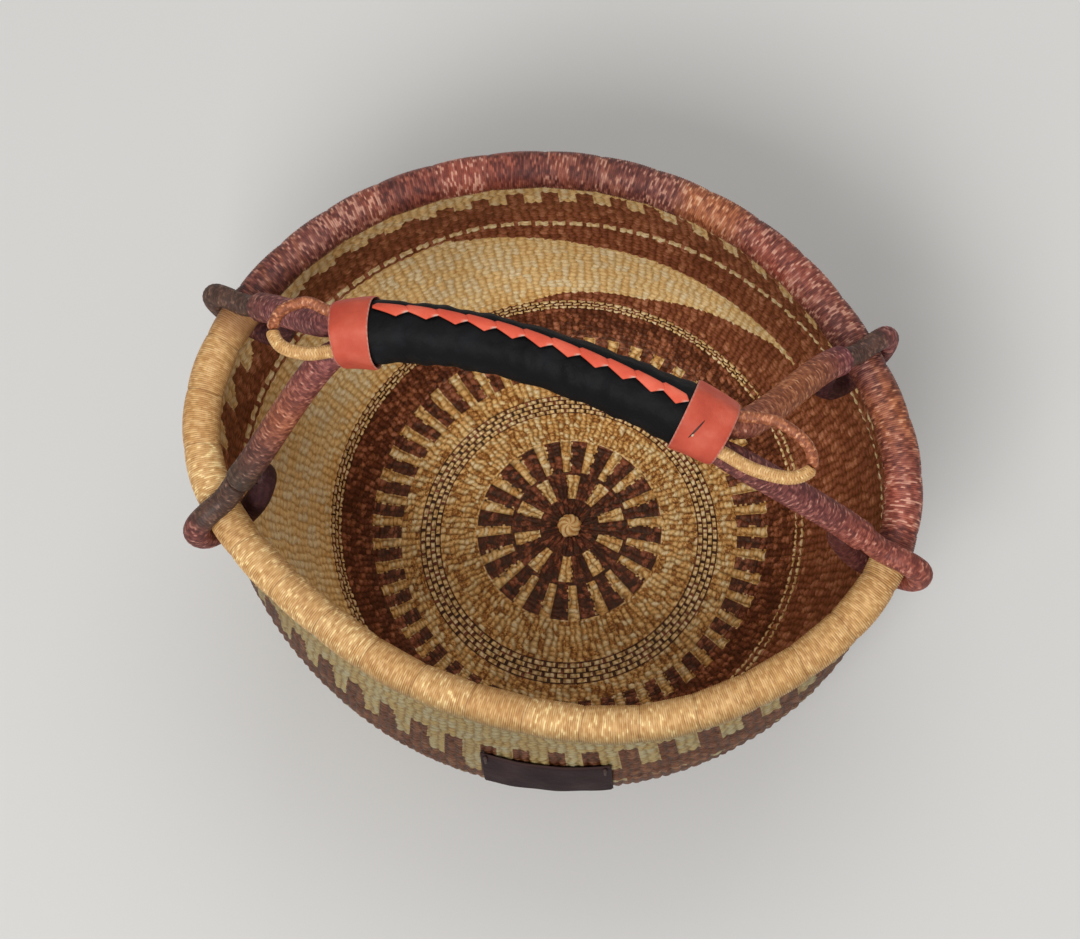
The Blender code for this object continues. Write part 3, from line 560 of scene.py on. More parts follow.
for band_name, first_row, last_row, columns in (("woven_base_star", 0, 20, 300),
                                                ("woven_base_field", 20, 40, 600),
                                                ("woven_wall_low", 40, 52, 800),
                                                ("woven_wall_belly", 52, 64, 800),
                                                ("woven_wall_middle", 64, 76, 800),
                                                ("woven_wall_shoulder", 76, 88, 800),
                                                ("woven_wall_top", 88, TOP_ROW, 800)):
    # A closed ring of weave: its outer face from the first row to the last, then its inner face back.
    row_lines = np.linspace(first_row, last_row, (last_row - first_row) * STEPS_PER_ROW + 1)
    if first_row == 0:
        row_lines = row_lines[1:]
    around_lines = FIRST_STAKE + np.linspace(0, FULL_TURN, columns + 1)
    angle, row = np.meshgrid(around_lines[:-1], row_lines)
    relief = weave_relief(angle, row)
    out = WALL_THICKNESS / 2 - RELIEF * (1 - relief)
    on_wall = np.clip((row - 46) / 8, 0, 1)
    # Painted shade for the hollows: the relief, eased on the wall and eased less on its dyed strands.
    shade = relief + (SOFTER_SHADE_ON_WALL * on_wall * (0.2 + 0.8 * (dye_of_weave(angle, row) < 0.5))
                      * (1 - relief))
    outer = weave_point(angle, row, out)
    inner = weave_point(angle, row, -out)
    rings = np.concatenate([outer, inner[::-1]])
    reach = row_lines * 0.0033
    along = np.concatenate([reach, reach[::-1] + 1.0, reach[:1] + 1.0])
    band = ring_surface(band_name, rings, along, around_lines * 0.17,
                        "joined" if first_row else "poles")
    # The two faces end crisply, so that no line shows where one band meets the next.
    edge_ends = np.empty(2 * len(band.data.edges), int)
    band.data.edges.foreach_get("vertices", edge_ends)
    ring_number = edge_ends.reshape(-1, 2) // columns
    steps = len(row_lines)
    crisp_rings = (steps - 1, steps) + (0, 2 * steps - 1) * bool(first_row)
    crisp = (ring_number[:, 0] == ring_number[:, 1]) & np.isin(ring_number[:, 0], crisp_rings)
    band.data.attributes.new("sharp_edge", "BOOLEAN", "EDGE").data.foreach_set("value", crisp)
    face_angle = angle[:-1] + math.pi / columns
    face_row = 0.5 * (row[:-1] + row[1:])
    dye = dye_of_weave(face_angle, face_row)
    undyed = dye < 0.5
    missed = between(face_row, DASHES_THREE) & (chance(face_angle * 15.9, face_row / 2) < MISSED_DASHES)
    outside_dye = np.where(missed, 1.0, dye)
    stake, level = by_hand(face_angle, face_row)
    level = np.where(face_row > 51, level / 2, level - STRAND_SLANT * (stake % 1.0 - 0.5))
    fine = chance(face_angle * columns / FULL_TURN, face_row * STEPS_PER_ROW)
    dashed = undyed & (between(face_row, DASHES_ONE) | between(face_row, DASHES_TWO)
                       | between(face_row, DASHES_THREE))
    base_field = undyed & ((face_row < STAR_END) | between(face_row, BASE_TEETH))
    on_field = on_wall[:-1] * undyed
    spread = (1 - EVENER_ON_WALL * on_wall[:-1]) * (1 - EVENER_FIELDS * on_field)
    tones = []
    # The natural fields of the wall are made paler: painted light, standing for the stronger light on the
    # wall than on the deep base.
    for strands_apart in (0, INNER_FACE_STRANDS):
        tone = STRAND_TONES * chance(stake + strands_apart, level + 500) + FIBRE_TONES * fine - TONES_DOWN
        tone = 0.5 + spread * (tone - 0.5) + PAINTED_LIGHT_ON_WALL_FIELDS * on_field
        tone = np.where(base_field, PALER_BASE_FIELDS + (1 - PALER_BASE_FIELDS) * tone, tone)
        tones.append(np.where(dashed, PALER_DASHES + (1 - PALER_DASHES) * tone, tone))
    outer_tone, inner_tone = tones
    mark(band, "dye", np.concatenate([outside_dye, dye[-1:], dye[::-1]]
                                     + [dye[:1]] * bool(first_row)), "FACE")
    mark(band, "tone", np.concatenate([outer_tone, outer_tone[-1:], inner_tone[::-1]]
                                      + [outer_tone[:1]] * bool(first_row)), "FACE")
    # The relief mark carries the painted shade of the hollows.
    mark(band, "relief", np.concatenate([shade, shade[::-1]]))
    # The outer face, which the material darkens as painted shade.
    mark(band, "outside", np.concatenate([np.ones_like(shade), np.zeros_like(shade)]))
    settle(band, woven, "woven_grass", "woven_bowl")


# Start knot: the first stakes, tied together where the weaving began. It is a small hard knot of natural
# grass with five lobes, and it sits on the middle of the base.

KNOT_RADIUS = 0.0075
KNOT_HEIGHT = 0.0042
KNOT_RINGS = 15
KNOT_SIDES = 60

# A dome whose radius falls with height as a rounded cosine. Its five lobes and the finer strands across
# them turn as they rise.
rise, turn = np.meshgrid(np.linspace(0.0, 1.0, KNOT_RINGS), turns(KNOT_SIDES), indexing="ij")
lobe = 1 + 0.13 * np.abs(np.sin(2.5 * turn + 3.2 * rise)) - 0.08 * np.sin(11 * turn + 9 * rise)
radius = KNOT_RADIUS * 0.86 * np.cos(0.5 * math.pi * np.clip(rise * 0.96, 0, 1))**0.55 * lobe
knot = ring_surface("start_knot_grass", np.stack([
    radius * np.cos(turn), radius * np.sin(turn), WALL_THICKNESS + GAP + KNOT_HEIGHT * rise**0.9], -1),
    np.linspace(0, 0.01, KNOT_RINGS), np.linspace(0, 0.047, KNOT_SIDES + 1), "poles")
mark(knot, "dye", 0.15)
mark(knot, "tone", 0.45 + 0.4 * np.sin(7 * turn + 9 * rise))
# Painted shade between the lobes, through the relief mark.
mark(knot, "relief", 0.25 + 5.0 * (lobe - 0.92))
settle(knot, woven, "natural_grass", "start_knot")


# Rim: the gathered stake ends, bound all round with fine split grass, strand beside strand. The binding
# is natural on the near and left side, and dyed in patches of purple, coral and orange on the far and
# right side. Every hand's width or less new strands were started, which shows as a fine dark line.

RIM_WRAP_RADIUS = 0.0105
RIM_BORE_RADIUS = 0.0087
RIM_STRAND = 0.00118
RIM_SIDES = 44
RIM_TONES = 22
RIM_START_PITCH = 0.031
RIM_START_GROOVE = 0.04
RIM_GROOVE_FLOOR = 0.42
RIM_LEAN = 0.8
RIM_WANDER = 0.12
RIM_SWELL = 0.0006
RIM_RELIEF = 0.0006

ORANGE_PATCHES = ((60, 6.5, 4, 1.0), (8, 7.0, 2, 0.8))
CORAL_PATCHES = ((40, 11.0, 2, 0.85), (112, 18.0, 2, 0.8), (-6, 8.0, 2, 0.8))
STAIN_BY_LEG = ((163, 3.0, 2, 0.75),)
# The near side of the rim, where its lower outer side gets painted shade.
NEAR_SIDE_SHADE = ((275, 48.0, 4, 1.0),)

ATTACHMENTS = {
    "left_back": (math.radians(161.0), math.radians(157), 0.0060),
    "left_front": (math.radians(197.2), math.radians(222), 0.0067),
    "right_back": (math.radians(18.9), math.radians(43), 0.0057),
    "right_front": (math.radians(343.5), math.radians(-19), 0.0064),
}


def rim_point(angle):
    """A point on the middle of the rim."""
    radius = RIM_RADIUS + waves(RIM_WAVES, angle) + waves(RIM_PULLS, angle)
    return np.stack([radius * np.cos(angle), radius * np.sin(angle), RIM_HEIGHT + 0 * radius], -1)


def rim_outward(angle):
    """The level direction square to the rim there, pointing away from the bowl."""
    step = 1e-4
    along = rim_point(angle + step) - rim_point(angle - step)
    return unit(np.stack([along[..., 1], -along[..., 0], 0 * along[..., 2]], -1))


def side_by_side(along, turn):
    """The relief and the tone of strands laid side by side round the rim, both from 0 to 1. They lean a
    little, a fine groove lies where new ones were started, and each strand's tone changes on its way."""
    strand = (along / RIM_STRAND + RIM_LEAN * np.sin(turn + 0.7)
              + RIM_WANDER * np.sin(3 * turn + 210 * along))
    since_start = (along / RIM_START_PITCH + 0.03 * np.sin(2 * turn)) % 1.0
    groove = np.clip(np.minimum(since_start, 1 - since_start) / RIM_START_GROOVE, 0, 1)
    place = turn * RIM_TONES / FULL_TURN + chance(strand, 3) * RIM_TONES
    relief = np.abs(np.sin(math.pi * strand))**0.8 * (RIM_GROOVE_FLOOR + (1 - RIM_GROOVE_FLOOR) * groove)
    relief = relief * (0.80 + 0.20 * np.abs(np.sin(math.pi * place))**0.5)
    tone = chance(strand, place % RIM_TONES) + 0.35 * (chance(along / RIM_START_PITCH + 50, 7) - 0.5)
    return relief, np.clip(tone, 0, 1)


def patches(table, degrees):
    """Soft patches round the rim, each a bell round a direction: its direction and half width in
    degrees, the power that squares its sides, and its strength."""
    return sum(strength * np.exp(-((degrees - place) / width)**power)
               for place, width, power, strength in table)


def drift(along, seed):
    """A slow, smooth wander between about 0 and 1, by four waves of unlike length."""
    lengths = np.array((0.011, 0.023, 0.051, 0.117))
    phases = seed * np.array((1.7, 2.9, 4.1, 5.3))
    wander = np.sin(FULL_TURN * np.asarray(along)[..., None] / lengths + phases)
    return 0.5 + 0.5 * (wander * (0.2, 0.3, 0.3, 0.35)).sum(-1)


def bind(tree, shader, gloss, strands, hollow):
    """Ends the finish of a binding: the strands' colour with painted shade in the hollows between them, and
    the grass's fibres.
    """
    shader.inputs["Specular IOR Level"].default_value = gloss
    shaded = colour_steps(tree, number(tree, "relief"), ((0.0, hollow), (0.55, (1, 1, 1, 1))))
    tree.links.new(blend_colours(tree, 1.0, strands, shaded, "MULTIPLY"), shader.inputs["Base Color"])
    raise_bump(tree, shader, streaks(tree, (900.0, 260.0)), 0.4, 0.0004)


bound_natural, tree, shader = new_finish("bound_natural_grass", 0.58)
straw = colour_steps(tree, number(tree, "tone"), ((0.0, (194, 144, 86)), (0.5, (216, 170, 110)),
                                                  (0.85, (230, 188, 130)), (1.0, (255, 224, 160))))
stained_and_shaded = blend_colours(tree, number(tree, "warm"), straw, screen(158, 108, 70))
# The olive mark here is painted shade on the lower outer side of the near rim; the warm mark above is a real
# stain.
stained_and_shaded = blend_colours(tree, number(tree, "olive"), stained_and_shaded, screen(128, 106, 62))
bind(tree, shader, 0.35, stained_and_shaded, (0.26, 0.16, 0.09, 1))

bound_dyed, tree, shader = new_finish("bound_dyed_grass", 0.55)
tone = number(tree, "tone")
# The palest step of each dye's ramp, which a few strands get at random, is painted highlight standing for
# glints on the strands; the rest is the dye's own uneven tone.
purple, pink, orange, coral, olive = (
    colour_steps(tree, tone, ((0.0, darkest), (half, usual), (pale, light), (1.0, lightest_glint)))
    for half, pale, darkest, usual, light, lightest_glint in (
        (0.50, 0.80, (76, 36, 33), (122, 66, 57), (152, 92, 78), (200, 144, 124)),
        (0.50, 0.80, (92, 44, 48), (138, 74, 76), (168, 102, 98), (212, 160, 150)),
        (0.50, 0.80, (130, 68, 40), (180, 108, 66), (204, 132, 88), (234, 180, 138)),
        (0.50, 0.80, (110, 48, 40), (160, 80, 62), (186, 104, 84), (228, 168, 144)),
        (0.60, 0.90, (60, 46, 38), (84, 66, 52), (104, 84, 68), (168, 142, 118))))
warm = blend_colours(tree, number(tree, "coral"), orange, coral)
patched = blend_colours(tree, number(tree, "pink"), purple, pink)
patched = blend_colours(tree, number(tree, "warm"), patched, warm)
patched = blend_colours(tree, number(tree, "olive"), patched, olive)
# Painted shade: this mark darkens each rim loop where it runs back in under the rim and the leg.
patched = blend_colours(tree, number(tree, "return_shade"), patched, screen(50, 30, 38))
bind(tree, shader, 0.40, patched, (0.40, 0.34, 0.34, 1))

rim_walk = np.linspace(-math.pi, 3 * math.pi, 4001)
rim_length = length_along(rim_point(rim_walk))
at_leg = {name: place for name, (place, _, _) in ATTACHMENTS.items()}
for arc_name, start, end, dyed_arc in (
        ("back", at_leg["right_back"], at_leg["left_back"], True),
        ("left", at_leg["left_back"], at_leg["left_front"], False),
        ("front", at_leg["left_front"], at_leg["right_front"], False),
        ("right", at_leg["right_front"], at_leg["right_back"] + FULL_TURN, True)):
    low, high = np.interp((start, end), rim_walk, rim_length)
    count = int((high - low) / RIM_STRAND * 4)
    outside_along = np.linspace(low + GAP, high - GAP, count)
    inside_along = np.linspace(high - GAP, low + GAP, max(6, count // 16))
    angle = np.interp(np.append(outside_along, inside_along), rim_length, rim_walk)
    # Circles carried along the rim on the outside, pressed in between the strands and swelling between
    # one start of new strands and the next, and then back along a plain bore.
    turn = turns(RIM_SIDES)
    along, around = np.meshgrid(outside_along, turn, indexing="ij")
    bump, _ = side_by_side(along, around)
    swell = np.abs(np.sin(math.pi * along / RIM_START_PITCH + 0.1 * np.sin(2 * around)))**0.6
    outer = RIM_WRAP_RADIUS + RIM_SWELL * (swell - 0.5) - RIM_RELIEF * (1 - bump)
    radius = np.vstack([outer, np.full((len(inside_along), RIM_SIDES), RIM_BORE_RADIUS)])
    rings = rings_round(rim_point(angle), rim_outward(angle), UP[None, :], turn[None, :], radius)
    every = np.concatenate([outside_along, inside_along, inside_along[-1:]])
    wrap = ring_surface("rim_binding_" + arc_name, rings, every, np.linspace(0, 0.066, RIM_SIDES + 1),
                        "joined")
    degrees = np.degrees(angle)[:, None] + 0 * turn
    wander = drift(rings[..., 0] * 1.7 + rings[..., 1], 2.2)
    orange_patch = patches(ORANGE_PATCHES, half_turns(degrees))
    coral_patch = patches(CORAL_PATCHES, half_turns(degrees))
    # Painted shade: the lower outer side of the rim's tube, used on the near side only.
    shaded_underside = np.clip(0.5 - np.sin(turn - 0.62), 0, 1) * (np.cos(turn) > -0.2)
    if dyed_arc:
        mark(wrap, "warm", np.clip(orange_patch + coral_patch + 0.9 * (wander - 0.55), 0, 1))
        mark(wrap, "olive", 0.0)
    else:
        mark(wrap, "warm", np.clip(0.25 * np.clip(wander - 0.45, 0, 1)
                                   + patches(STAIN_BY_LEG, degrees), 0, 1))
        mark(wrap, "olive", patches(NEAR_SIDE_SHADE, degrees) * shaded_underside * 0.85)
    mark(wrap, "coral", np.clip(coral_patch / (orange_patch + coral_patch + 0.15) + 0.15, 0, 1))
    along, around = np.meshgrid(every[:-1], turn, indexing="ij")
    mark(wrap, "tone", side_by_side(along, around)[1])
    mark(wrap, "relief", np.vstack([bump, np.ones((len(inside_along), RIM_SIDES))]))
    settle(wrap, bound_dyed if dyed_arc else bound_natural,
           "dyed_grass" if dyed_arc else "natural_grass", "rim_wrap_" + arc_name)
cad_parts["rim_core"].data.materials.clear()
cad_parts["rim_core"].data.materials.append(bound_natural)


# Grip: a thick roll of grass inside a sleeve of black leather. The sleeve's two edges meet along the
# top, a little behind the middle, where the back edge is folded over into a narrow raised strip.

GRIP_MIDDLE = (-0.0021, 0.0074, 0.347)
GRIP_TURN = math.radians(-12.8)
GRIP_ENDS = (-0.0995, 0.1055)
GRIP_BOW = 1.23
GRIP_BOW_SKEW = 3.76
GRIP_DROP = 0.45
GRIP_END_DROP = 42.0
SLEEVE_ENDS = (-0.0865, 0.0885)
SLEEVE_END_RADIUS = 0.0172
SLEEVE_MIDDLE_RADIUS = 0.0154
SLEEVE_THICKNESS = 0.0020
SLEEVE_SIDES = 72
LACING_ANGLE_LEFT = math.radians(30)
LACING_ANGLE_RIGHT = math.radians(12)
EDGE_FOLD = 0.0009
CREASE_DEPTH, CREASE_PITCH = 0.0005, 0.026
WRINKLE_DEPTH, WRINKLE_PITCH = 0.0003, 0.011
PUCKER_DEPTH, PUCKER_PITCH = 0.0004, 0.0151


def path_frames(path, up=UP):
    """Side and lift directions along a path: the first side is square to the path and to the given up,
    and each next one is the last one, turned as little as it takes to stay square to the path."""
    tangent = unit(np.gradient(path, axis=0))
    side = [unit(np.cross(tangent[0], up))]
    for t in tangent[1:]:
        last = side[-1]
        side.append(unit(last - t * (last @ t)))
    side = np.array(side)
    return side, np.cross(side, tangent)


def grip_point(along):
    """A point on the grip's line: an arch that drops by the square and the fourth power of the distance,
    its ends swung forward of the middle, the right one less than the left one."""
    along = np.asarray(along, float)
    swing = -GRIP_BOW * along**2 + GRIP_BOW_SKEW * along**3
    x = GRIP_MIDDLE[0] + along * math.cos(GRIP_TURN) - swing * math.sin(GRIP_TURN)
    y = GRIP_MIDDLE[1] + along * math.sin(GRIP_TURN) + swing * math.cos(GRIP_TURN)
    z = GRIP_MIDDLE[2] - GRIP_DROP * along**2 - GRIP_END_DROP * along**4
    return np.stack([x, y, z], -1)


def sleeve_radius(along):
    """The sleeve is a little thinner in the middle of the grip than at its ends."""
    share = np.clip(np.abs(along) / SLEEVE_ENDS[1], 0, 1)
    return SLEEVE_MIDDLE_RADIUS + (SLEEVE_END_RADIUS - SLEEVE_MIDDLE_RADIUS) * share**2


def seam_angle(along):
    """Where the seam runs, as an angle behind the top of the sleeve."""
    share = (along - SLEEVE_ENDS[0]) / (SLEEVE_ENDS[1] - SLEEVE_ENDS[0])
    return LACING_ANGLE_LEFT + (LACING_ANGLE_RIGHT - LACING_ANGLE_LEFT) * share


def sleeve_skin(along, behind):
    """The radius of the sleeve's outer skin: its taper, a step up over the folded back edge, creases and
    finer wrinkles that run slantwise round it, and puckers where the lacing pulls at the seam."""
    from_seam = (behind - seam_angle(along) + math.pi) % FULL_TURN - math.pi
    fold = EDGE_FOLD / (1 + np.exp(-(from_seam - 0.10) / 0.03)) / (1 + np.exp((from_seam - 0.52) / 0.05))
    crease = (CREASE_DEPTH * np.sin(FULL_TURN * along / CREASE_PITCH + 1.6 * np.sin(behind - 0.6))
              * np.sin(behind - 0.4))
    wrinkle = (WRINKLE_DEPTH * np.sin(FULL_TURN * along / WRINKLE_PITCH + 2.3 * behind)
               * np.cos(behind + 30 * along))
    pucker = PUCKER_DEPTH * np.sin(FULL_TURN * along / PUCKER_PITCH) * np.exp(-(from_seam / 0.5)**2)
    return sleeve_radius(along) - CREASE_DEPTH + fold + crease + wrinkle + pucker


def round_grip(along, behind, radius):
    """Points round the grip's line, at angles behind its top and distances from it."""
    side, lift = path_frames(grip_point(along))
    return rings_round(grip_point(along), lift, -side, behind, radius)


def leather(name, colour, dark, light, grain, roughness, edge=None, gloss=0.30):
    """Tanned skin: a colour that wanders between a darker and a lighter one, fine pores, soft creases,
    and the paler raw edge of the cut where the mesh marks one. Its colours are screen values."""
    finish, tree, shader = new_finish(name, roughness)
    shader.inputs["Specular IOR Level"].default_value = gloss
    base = colour_steps(tree, cloud(tree, 55.0, 4.0), ((0.30, dark), (0.52, colour), (0.75, light)))
    if edge:
        base = blend_colours(tree, number(tree, "edge"), base, screen(*edge))
    tree.links.new(base, shader.inputs["Base Color"])
    pores = add_node(tree, "ShaderNodeTexVoronoi", Scale=grain)
    place = add_node(tree, "ShaderNodeTexCoord")
    tree.links.new(place.outputs["Object"], pores.inputs["Vector"])
    fine = raise_bump(tree, shader, pores.outputs["Distance"], 0.25, 0.0004)
    raise_bump(tree, shader, cloud(tree, 140.0, 5.0), 0.55, 0.0016, fine)
    return finish


black_leather = leather("black_leather", (10, 10, 12), (6, 6, 8), (20, 21, 24), 1400.0, 0.58, gloss=0.14)
along_lines = np.linspace(*SLEEVE_ENDS, 150)
along, behind = np.meshgrid(along_lines, turns(SLEEVE_SIDES), indexing="ij")
outer = round_grip(along_lines, behind, sleeve_skin(along, behind))
bore_along, bore_behind = np.meshgrid(np.linspace(*SLEEVE_ENDS, 20), turns(SLEEVE_SIDES), indexing="ij")
bore = round_grip(bore_along[:, 0], bore_behind, sleeve_radius(bore_along) - SLEEVE_THICKNESS)
sleeve = ring_surface("grip_sleeve", np.concatenate([outer, bore[::-1]]),
                      np.concatenate([along_lines, bore_along[::-1, 0], (0.0,)]),
                      np.linspace(0, 0.1, SLEEVE_SIDES + 1), "joined")
settle(sleeve, black_leather, "black_leather", "leather_sleeve")
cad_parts["grip_core"].data.materials.clear()
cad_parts["grip_core"].data.materials.append(bound_natural)


# Lacing: one thong of coral leather that closes the sleeve, seen as a row of stitches like a saw's teeth.
# Each starts under the one before it, straight along the seam at the back, widens towards the front
# and is turned back there to a point with a pale cut edge.

CUFF_INNER_ENDS = (-0.0805, 0.0825)
LACING_STITCHES = 11
LACING_RINGS = 19
LACING_HALF_WIDTH = 0.0041
LACING_SLANT = 0.0009
LACING_THICKNESS = 0.0010
LACING_OVERLAP = 1.22
LACING_WIDEST = 0.66
LACING_END_GAP = 0.001
LACING_LIE, LACING_LIFT = 0.0003, 0.0011
# Points round the thong's section: how far across, how far up, and how pale the cut leather is there.
LACING_SECTION = np.array((
    (-1.0, 0.0, 1.0), (-0.5, 0.0, 0.0), (0.0, 0.0, 0.0), (0.5, 0.0, 0.0), (1.0, 0.0, 0.0), (0.99, 0.60, 0.0),
    (0.88, 0.86, 0.0), (0.40, 0.98, 0.0), (0.0, 1.0, 0.0), (-0.40, 0.98, 0.0), (-0.88, 0.86, 0.6),
    (-0.99, 0.60, 1.0)))

coral_leather = leather("coral_leather", (196, 82, 60), (180, 69, 50), (210, 105, 83), 1500.0, 0.55,
                        (222, 186, 170))
coral_thong = leather("coral_thong", (222, 90, 64), (208, 77, 54), (234, 114, 88), 1500.0, 0.55,
                      (222, 186, 170))
low, high = CUFF_INNER_ENDS
stitch_length = (high - low - 2 * LACING_END_GAP) / LACING_STITCHES
share = np.linspace(0.0, 1.0, LACING_RINGS)
section_across, section_up, section_cut = LACING_SECTION.T
for stitch_number in range(LACING_STITCHES):
    # The thong's section carried along the seam: its front half widens and then closes to a point, its
    # back half keeps its width, and it lifts on its way over the start of the next stitch.
    start = low + LACING_END_GAP + stitch_length * stitch_number
    stitch_along = start + share * min(stitch_length * LACING_OVERLAP, high - start - 0.0004)
    front_half = np.interp(share, (0.0, LACING_WIDEST, 1.0), (0.35, 1.15, 0.02))
    back_half = 0.55 * np.clip(np.minimum(share / 0.10, (1 - share) / 0.14), 0.05, 1)
    slope = LACING_SLANT * (1 - 2 * share)
    across = np.where(section_across < 0, front_half[:, None], back_half[:, None]) * section_across
    behind = (seam_angle(stitch_along)[:, None]
              + (slope[:, None] + LACING_HALF_WIDTH * across) / sleeve_radius(stitch_along)[:, None])
    lie = LACING_LIE + LACING_LIFT * share * (1 - share**6)
    radius = (sleeve_radius(stitch_along) + lie)[:, None] + LACING_THICKNESS * section_up
    thong = ring_surface("lacing_stitch_%02d" % (stitch_number + 1),
                         round_grip(stitch_along, behind, radius), stitch_along,
                         np.linspace(0, 0.01, len(LACING_SECTION) + 1), "poles")
    mark(thong, "edge", np.clip((share - 0.80) / 0.08, 0, 1)[:, None] * section_cut)
    settle(thong, coral_thong, "coral_leather", "leather_lacing")


# Cuffs: a collar of the same coral leather glued round each end of the sleeve and the roots of the legs.
# The damp leather was pressed over what it covers, so it is a little faceted, with a worn pale edge.

CUFF_WIDE_RADIUS = 0.0195
CUFF_NARROW_RADIUS = 0.0179
CUFF_THICKNESS = 0.0013
CUFF_SEEDS = (1.0, 2.6)
CUFF_SIDES = 80
SKIN_RINGS, BORE_RINGS = 25, 10
EDGE_ROUNDING, EDGE_SHARE = 0.0006, 0.18
WORN_EDGE = 0.55


def cuff_taper(share):
    """The radius a cuff was cut for: a slow taper from its inner to its outer end."""
    return CUFF_WIDE_RADIUS + (CUFF_NARROW_RADIUS - CUFF_WIDE_RADIUS) * share


def cuff_skin(share, around, seed):
    """The radius of a cuff's outer skin: its taper, with facets round it where it was pressed down, and
    rounded ends."""
    facet = 0.00035 * np.cos(7 * around + seed) + 0.00025 * np.sin(3 * around + 4 * share + seed)
    from_end = np.clip(np.abs(2 * share - 1) - (1 - EDGE_SHARE), 0, 1)
    return cuff_taper(share) + facet - 0.0003 - EDGE_ROUNDING * from_end / EDGE_SHARE


for cuff_name, inner_end, outer_end, seed in (
        ("cuff_left", CUFF_INNER_ENDS[0], GRIP_ENDS[0], CUFF_SEEDS[0]),
        ("cuff_right", CUFF_INNER_ENDS[1], GRIP_ENDS[1], CUFF_SEEDS[1])):
    share = np.concatenate([np.linspace(0, 1, SKIN_RINGS), np.linspace(1, 0, BORE_RINGS)])
    on_skin = (np.arange(len(share)) < SKIN_RINGS)[:, None]
    along_lines = inner_end + (outer_end - inner_end) * share
    across, around = np.meshgrid(share, turns(CUFF_SIDES), indexing="ij")
    radius = np.where(on_skin, cuff_skin(across, around, seed), cuff_taper(across) - CUFF_THICKNESS)
    skin_along = np.sort(along_lines[:SKIN_RINGS])
    side, lift = path_frames(grip_point(skin_along))
    nearest = np.clip(np.searchsorted(skin_along, along_lines), 0, SKIN_RINGS - 1)
    rings = rings_round(grip_point(along_lines), lift[nearest], -side[nearest], around, radius)
    cuff = ring_surface(cuff_name + "_leather", rings, np.append(along_lines, along_lines[0]),
                        np.linspace(0, 0.12, CUFF_SIDES + 1), "joined")
    worn = np.clip((np.abs(2 * across - 1) - 0.93) / 0.05, 0, 1) * WORN_EDGE
    mark(cuff, "edge", worn * (0.45 + 0.55 * (np.sin(38 * around) > 0)))
    settle(cuff, coral_leather, "coral_leather", cuff_name)


# Cuff stitch: one stitch of dark waxed thread, sunk in the leather near the right cuff's end, and the
# small pale knot that holds it.

THREAD_RINGS, THREAD_SIDES = 17, 10

for thread_name, along_span, behind_span, half_width, height, hollows, plies in (
        ("cuff_stitch_right", (0.0891, 0.0923), (-0.785, -0.131), 0.0005, 0.0003,
         (30, 12, 10), (56, 28, 24)),
        ("cuff_knot_right", (0.0901, 0.0906), (-0.700, -0.600), 0.0006, 0.0007,
         (176, 142, 110), (222, 196, 168))):
    # Half sunk ovals carried along the cuff's skin, narrower towards both ends.
    thread, tree, shader = new_finish(thread_name, 0.5)
    spun = streaks(tree, (900.0, 4000.0))
    tree.links.new(colour_steps(tree, spun, ((0.35, hollows), (0.60, plies))), shader.inputs["Base Color"])
    raise_bump(tree, shader, spun, 0.4, 0.0002)
    share = np.linspace(0, 1, THREAD_RINGS)
    along = np.interp(share, (0, 1), along_span)
    behind = np.interp(share, (0, 1), behind_span)[:, None]
    on_cuff = (along - CUFF_INNER_ENDS[1]) / (GRIP_ENDS[1] - CUFF_INNER_ENDS[1])
    line = round_grip(along, behind, cuff_skin(on_cuff[:, None], behind, CUFF_SEEDS[1]))[:, 0]
    outward = unit(line - grip_point(along))
    across = unit(np.cross(np.gradient(line, axis=0), outward))
    rounding = np.sqrt(np.clip(1 - (2 * share - 1)**2, 0.03, 1))[:, None]
    rings = rings_round(line, half_width * across, height * outward, turns(THREAD_SIDES)[None, :], rounding)
    stitch = ring_surface(thread_name, rings, share * 0.01, np.linspace(0, 0.003, THREAD_SIDES + 1), "poles")
    settle(stitch, thread, "stitch_thread", "cuff_right")


# Legs: four thick bundles of grass that run from the roll inside the grip to the rim. Each is bound in a
# close braid of dyed strands, mostly purple, with orange or coral lengths and a grey one near the rim.

LEG_ROOT_RADIUS = 0.0069
LEG_RADIUS = 0.0080
LEG_SWELL_START = 0.22
LEG_SWELL_END = 0.38
LEG_STATIONS = 11
LEG_START_REACH = 0.11
LEG_END_REACH = 0.24
LEG_STRAIGHT = 0.0100
LEG_ARRIVAL_SLOPE = math.radians(45)
LEG_SPREAD = 0.0082
LEG_DROP = 0.0040
LEG_ROOT = 0.0115
LEG_LEAD = 0.0020
LEG_END_SETBACK = 0.0069
LEG_END_HEIGHT = 0.0344
LEG_ROUNDING = (0.0022, 0.0034)


def bezier(controls, count):
    """Points along the cubic curve that four control points draw."""
    t = np.linspace(0.0, 1.0, count)[:, None]
    a, b, c, d = (np.asarray(p, float) for p in controls)
    s = 1.0 - t
    return s**3 * a + 3 * s**2 * t * b + 3 * s * t**2 * c + t**3 * d


def smooth_line(knots, per_span):
    """Points along a smooth curve through the knots, by the Catmull-Rom rule."""
    k = np.asarray(knots, float)
    k = np.vstack([2 * k[0] - k[1], k, 2 * k[-1] - k[-2]])
    t = np.linspace(0.0, 1.0, per_span, endpoint=False)[:, None]
    spans = []
    for i in range(1, len(k) - 2):
        a, b, c, d = k[i - 1:i + 3]
        spans.append(0.5 * (2 * b + (c - a) * t + (2 * a - 5 * b + 4 * c - d) * t**2
                            + (3 * b - a - 3 * c + d) * t**3))
    return np.vstack(spans + [k[-2:-1]])


